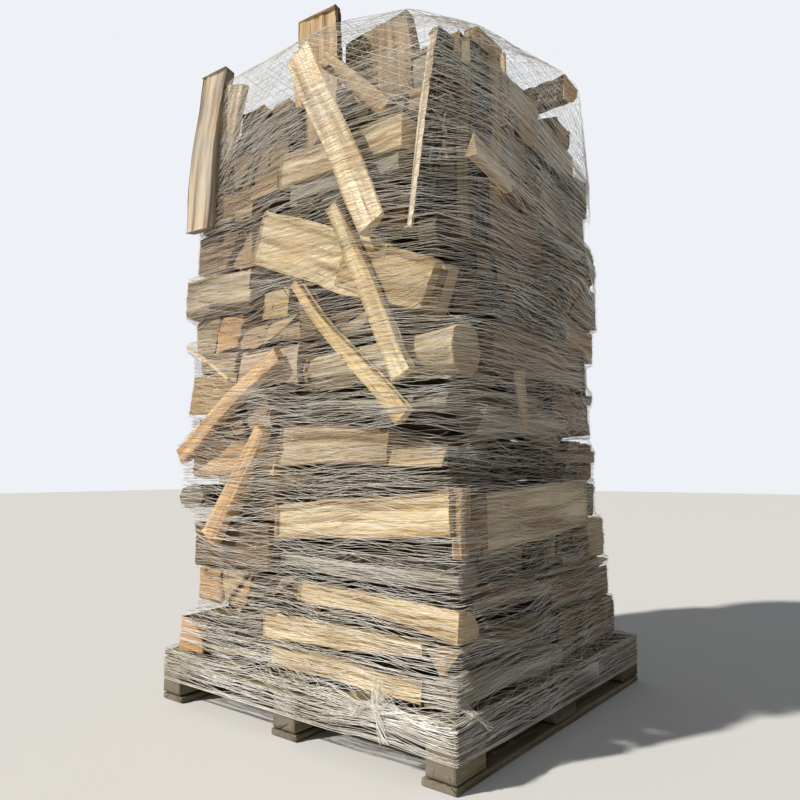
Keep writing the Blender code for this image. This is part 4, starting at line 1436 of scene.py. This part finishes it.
class FIREWOOD_OT_stacked_logs(bpy.types.Operator):
    """Lay out the logs behind the single ones, tier by tier"""

    bl_idname = "firewood.stacked_logs"
    bl_label = "Stacked Logs"

    def execute(self, context):
        tiers = tier_logs()
        for number, (name, (first, last)) in enumerate(STACK_TIERS.items(), start=1):
            dress_stack(name, tiers[first:last], 100 * number)
        return {"FINISHED"}


class FIREWOOD_OT_netting(bpy.types.Operator):
    """Wind the netting's strands round the load, layer over layer, with the zigzags that tie them"""

    bl_idname = "firewood.netting"
    bl_label = "Netting"

    def execute(self, context):
        sizes = net_settings()
        chance = random.Random(sizes.seed)
        points = load_points()
        surface = NetSurface(points, NET_FOOT_Z, NET_TOP_Z)
        for layer in range(sizes.layers):
            lift = NET_LIFT + NET_LAYER_STEP * layer
            turns = net_turns(layer, sizes.strand_gap, NET_FOOT_Z + 0.003, NET_TOP_Z - 0.01, sizes.tilt,
                              NET_HEADINGS[layer % len(NET_HEADINGS)])
            strands = [turn_path(surface, turn, lift) for turn in turns]
            ties = [tie_path(surface, lower, upper, sizes.tie_pitch, lift + NET_TIE_LIFT, chance)
                    for lower, upper in zip(turns, turns[1:])]
            add_threads(f"net_strands_{layer + 1}", strands, sizes.strand_radius, True)
            add_threads(f"net_ties_{layer + 1}", ties, sizes.tie_radius, True)
        foot_turns = []
        for layer in range(FOOT_LAYERS):
            foot_turns += net_turns(layer + 5, FOOT_GAP, NET_FOOT_Z + 0.002, FOOT_TOP_Z, FOOT_TILT,
                                    layer * 2.0, FOOT_WANDER)
        add_threads("net_foot_strands", [turn_path(surface, turn, FOOT_LIFT) for turn in foot_turns],
                    sizes.strand_radius, True)
        hairs = [hair_path(surface, chance) for _ in range(sizes.hairs)]
        add_threads("net_hairs", hairs, sizes.tie_radius, False)
        bunches = [path for bunch in NET_BUNCHES for path in bunch_paths(surface, bunch, chance)]
        add_threads("net_bunches", bunches, sizes.strand_radius, False)
        veil_turns, ties = veil_paths(points, chance)
        add_threads("net_veil_strands", veil_turns, sizes.strand_radius, True)
        add_threads("net_veil_ties", ties, sizes.tie_radius, True)
        return {"FINISHED"}


class FIREWOOD_OT_stage(bpy.types.Operator):
    """Set up the floor, the lights and the camera"""

    bl_idname = "firewood.stage"
    bl_label = "Stage"

    def execute(self, context):
        sizes = stage_settings()
        scene = context.scene
        shape = bmesh.new()
        bmesh.ops.create_grid(shape, x_segments=1, y_segments=1, size=FLOOR_REACH)
        mesh = bpy.data.meshes.new("floor")
        shape.to_mesh(mesh)
        shape.free()
        mesh.materials.append(shared_material("floor"))
        floor = bpy.data.objects.new("floor", mesh)
        scene.collection.objects.link(floor)
        world = bpy.data.worlds.new("pale_sky")
        world.use_nodes = True
        tree = world.node_tree
        background = tree.nodes["Background"]
        background.inputs["Color"].default_value = SKY_COLOUR
        seen = add_node(tree, "ShaderNodeLightPath").outputs["Is Camera Ray"]
        tree.links.new(spread_out(tree, seen, 0.0, 1.0, sizes.sky_strength, BACKDROP_STRENGTH),
                       background.inputs["Strength"])
        scene.world = world
        scene.view_settings.view_transform = "Standard"
        sun = bpy.data.lights.new("key", "SUN")
        sun.energy = sizes.sun_strength
        sun.angle = math.radians(SUN_WIDTH)
        sun.color = SUN_COLOUR
        key = bpy.data.objects.new("key", sun)
        key.rotation_euler = Vector(SUN_FROM).to_track_quat("Z", "Y").to_euler()
        scene.collection.objects.link(key)
        lens = bpy.data.cameras.new("camera")
        lens.lens = CAMERA_LENS
        lens.sensor_width = CAMERA_SENSOR
        camera = bpy.data.objects.new("camera", lens)
        camera.location = CAMERA_PLACE
        camera.rotation_euler = (math.radians(CAMERA_TILT), 0, math.radians(CAMERA_HEADING))
        scene.collection.objects.link(camera)
        scene.camera = camera
        return {"FINISHED"}


class FIREWOOD_PT_sidebar(bpy.types.Panel):
    """Sidebar panel that lists the parts of the pallet of firewood"""

    bl_idname = "FIREWOOD_PT_sidebar"
    bl_label = "Pallet of Firewood"
    bl_space_type = "VIEW_3D"
    bl_region_type = "UI"
    bl_category = "Firewood"

    def draw(self, context):
        scene = context.scene
        layout = self.layout
        for group in (scene.firewood_wood, scene.firewood_net, scene.firewood_stage):
            box = layout.box()
            for name in group.__annotations__:
                box.prop(group, name)
        for operator in OPERATORS:
            layout.operator(operator.bl_idname)


OPERATORS = (FIREWOOD_OT_pallet, FIREWOOD_OT_single_logs, FIREWOOD_OT_sticks, FIREWOOD_OT_stacked_logs,
             FIREWOOD_OT_netting, FIREWOOD_OT_stage)
CLASSES = ((FirewoodWoodSettings, FirewoodNetSettings, FirewoodStageSettings) + OPERATORS
           + (FIREWOOD_PT_sidebar,))


def register():
    """Register the settings, the operators and the panel."""
    for item in CLASSES:
        bpy.utils.register_class(item)
    bpy.types.Scene.firewood_wood = bpy.props.PointerProperty(type=FirewoodWoodSettings)
    bpy.types.Scene.firewood_net = bpy.props.PointerProperty(type=FirewoodNetSettings)
    bpy.types.Scene.firewood_stage = bpy.props.PointerProperty(type=FirewoodStageSettings)


def unregister():
    """Take out what register put in."""
    del bpy.types.Scene.firewood_wood
    del bpy.types.Scene.firewood_net
    del bpy.types.Scene.firewood_stage
    for item in reversed(CLASSES):
        bpy.utils.unregister_class(item)


def main():
    """Build every piece and the stage."""
    register()
    bpy.ops.firewood.stage()
    bpy.ops.firewood.pallet()
    bpy.ops.firewood.single_logs()
    bpy.ops.firewood.sticks()
    bpy.ops.firewood.stacked_logs()
    bpy.ops.firewood.netting()
    bpy.context.view_layer.update()


if __name__ == "__main__":
    main()
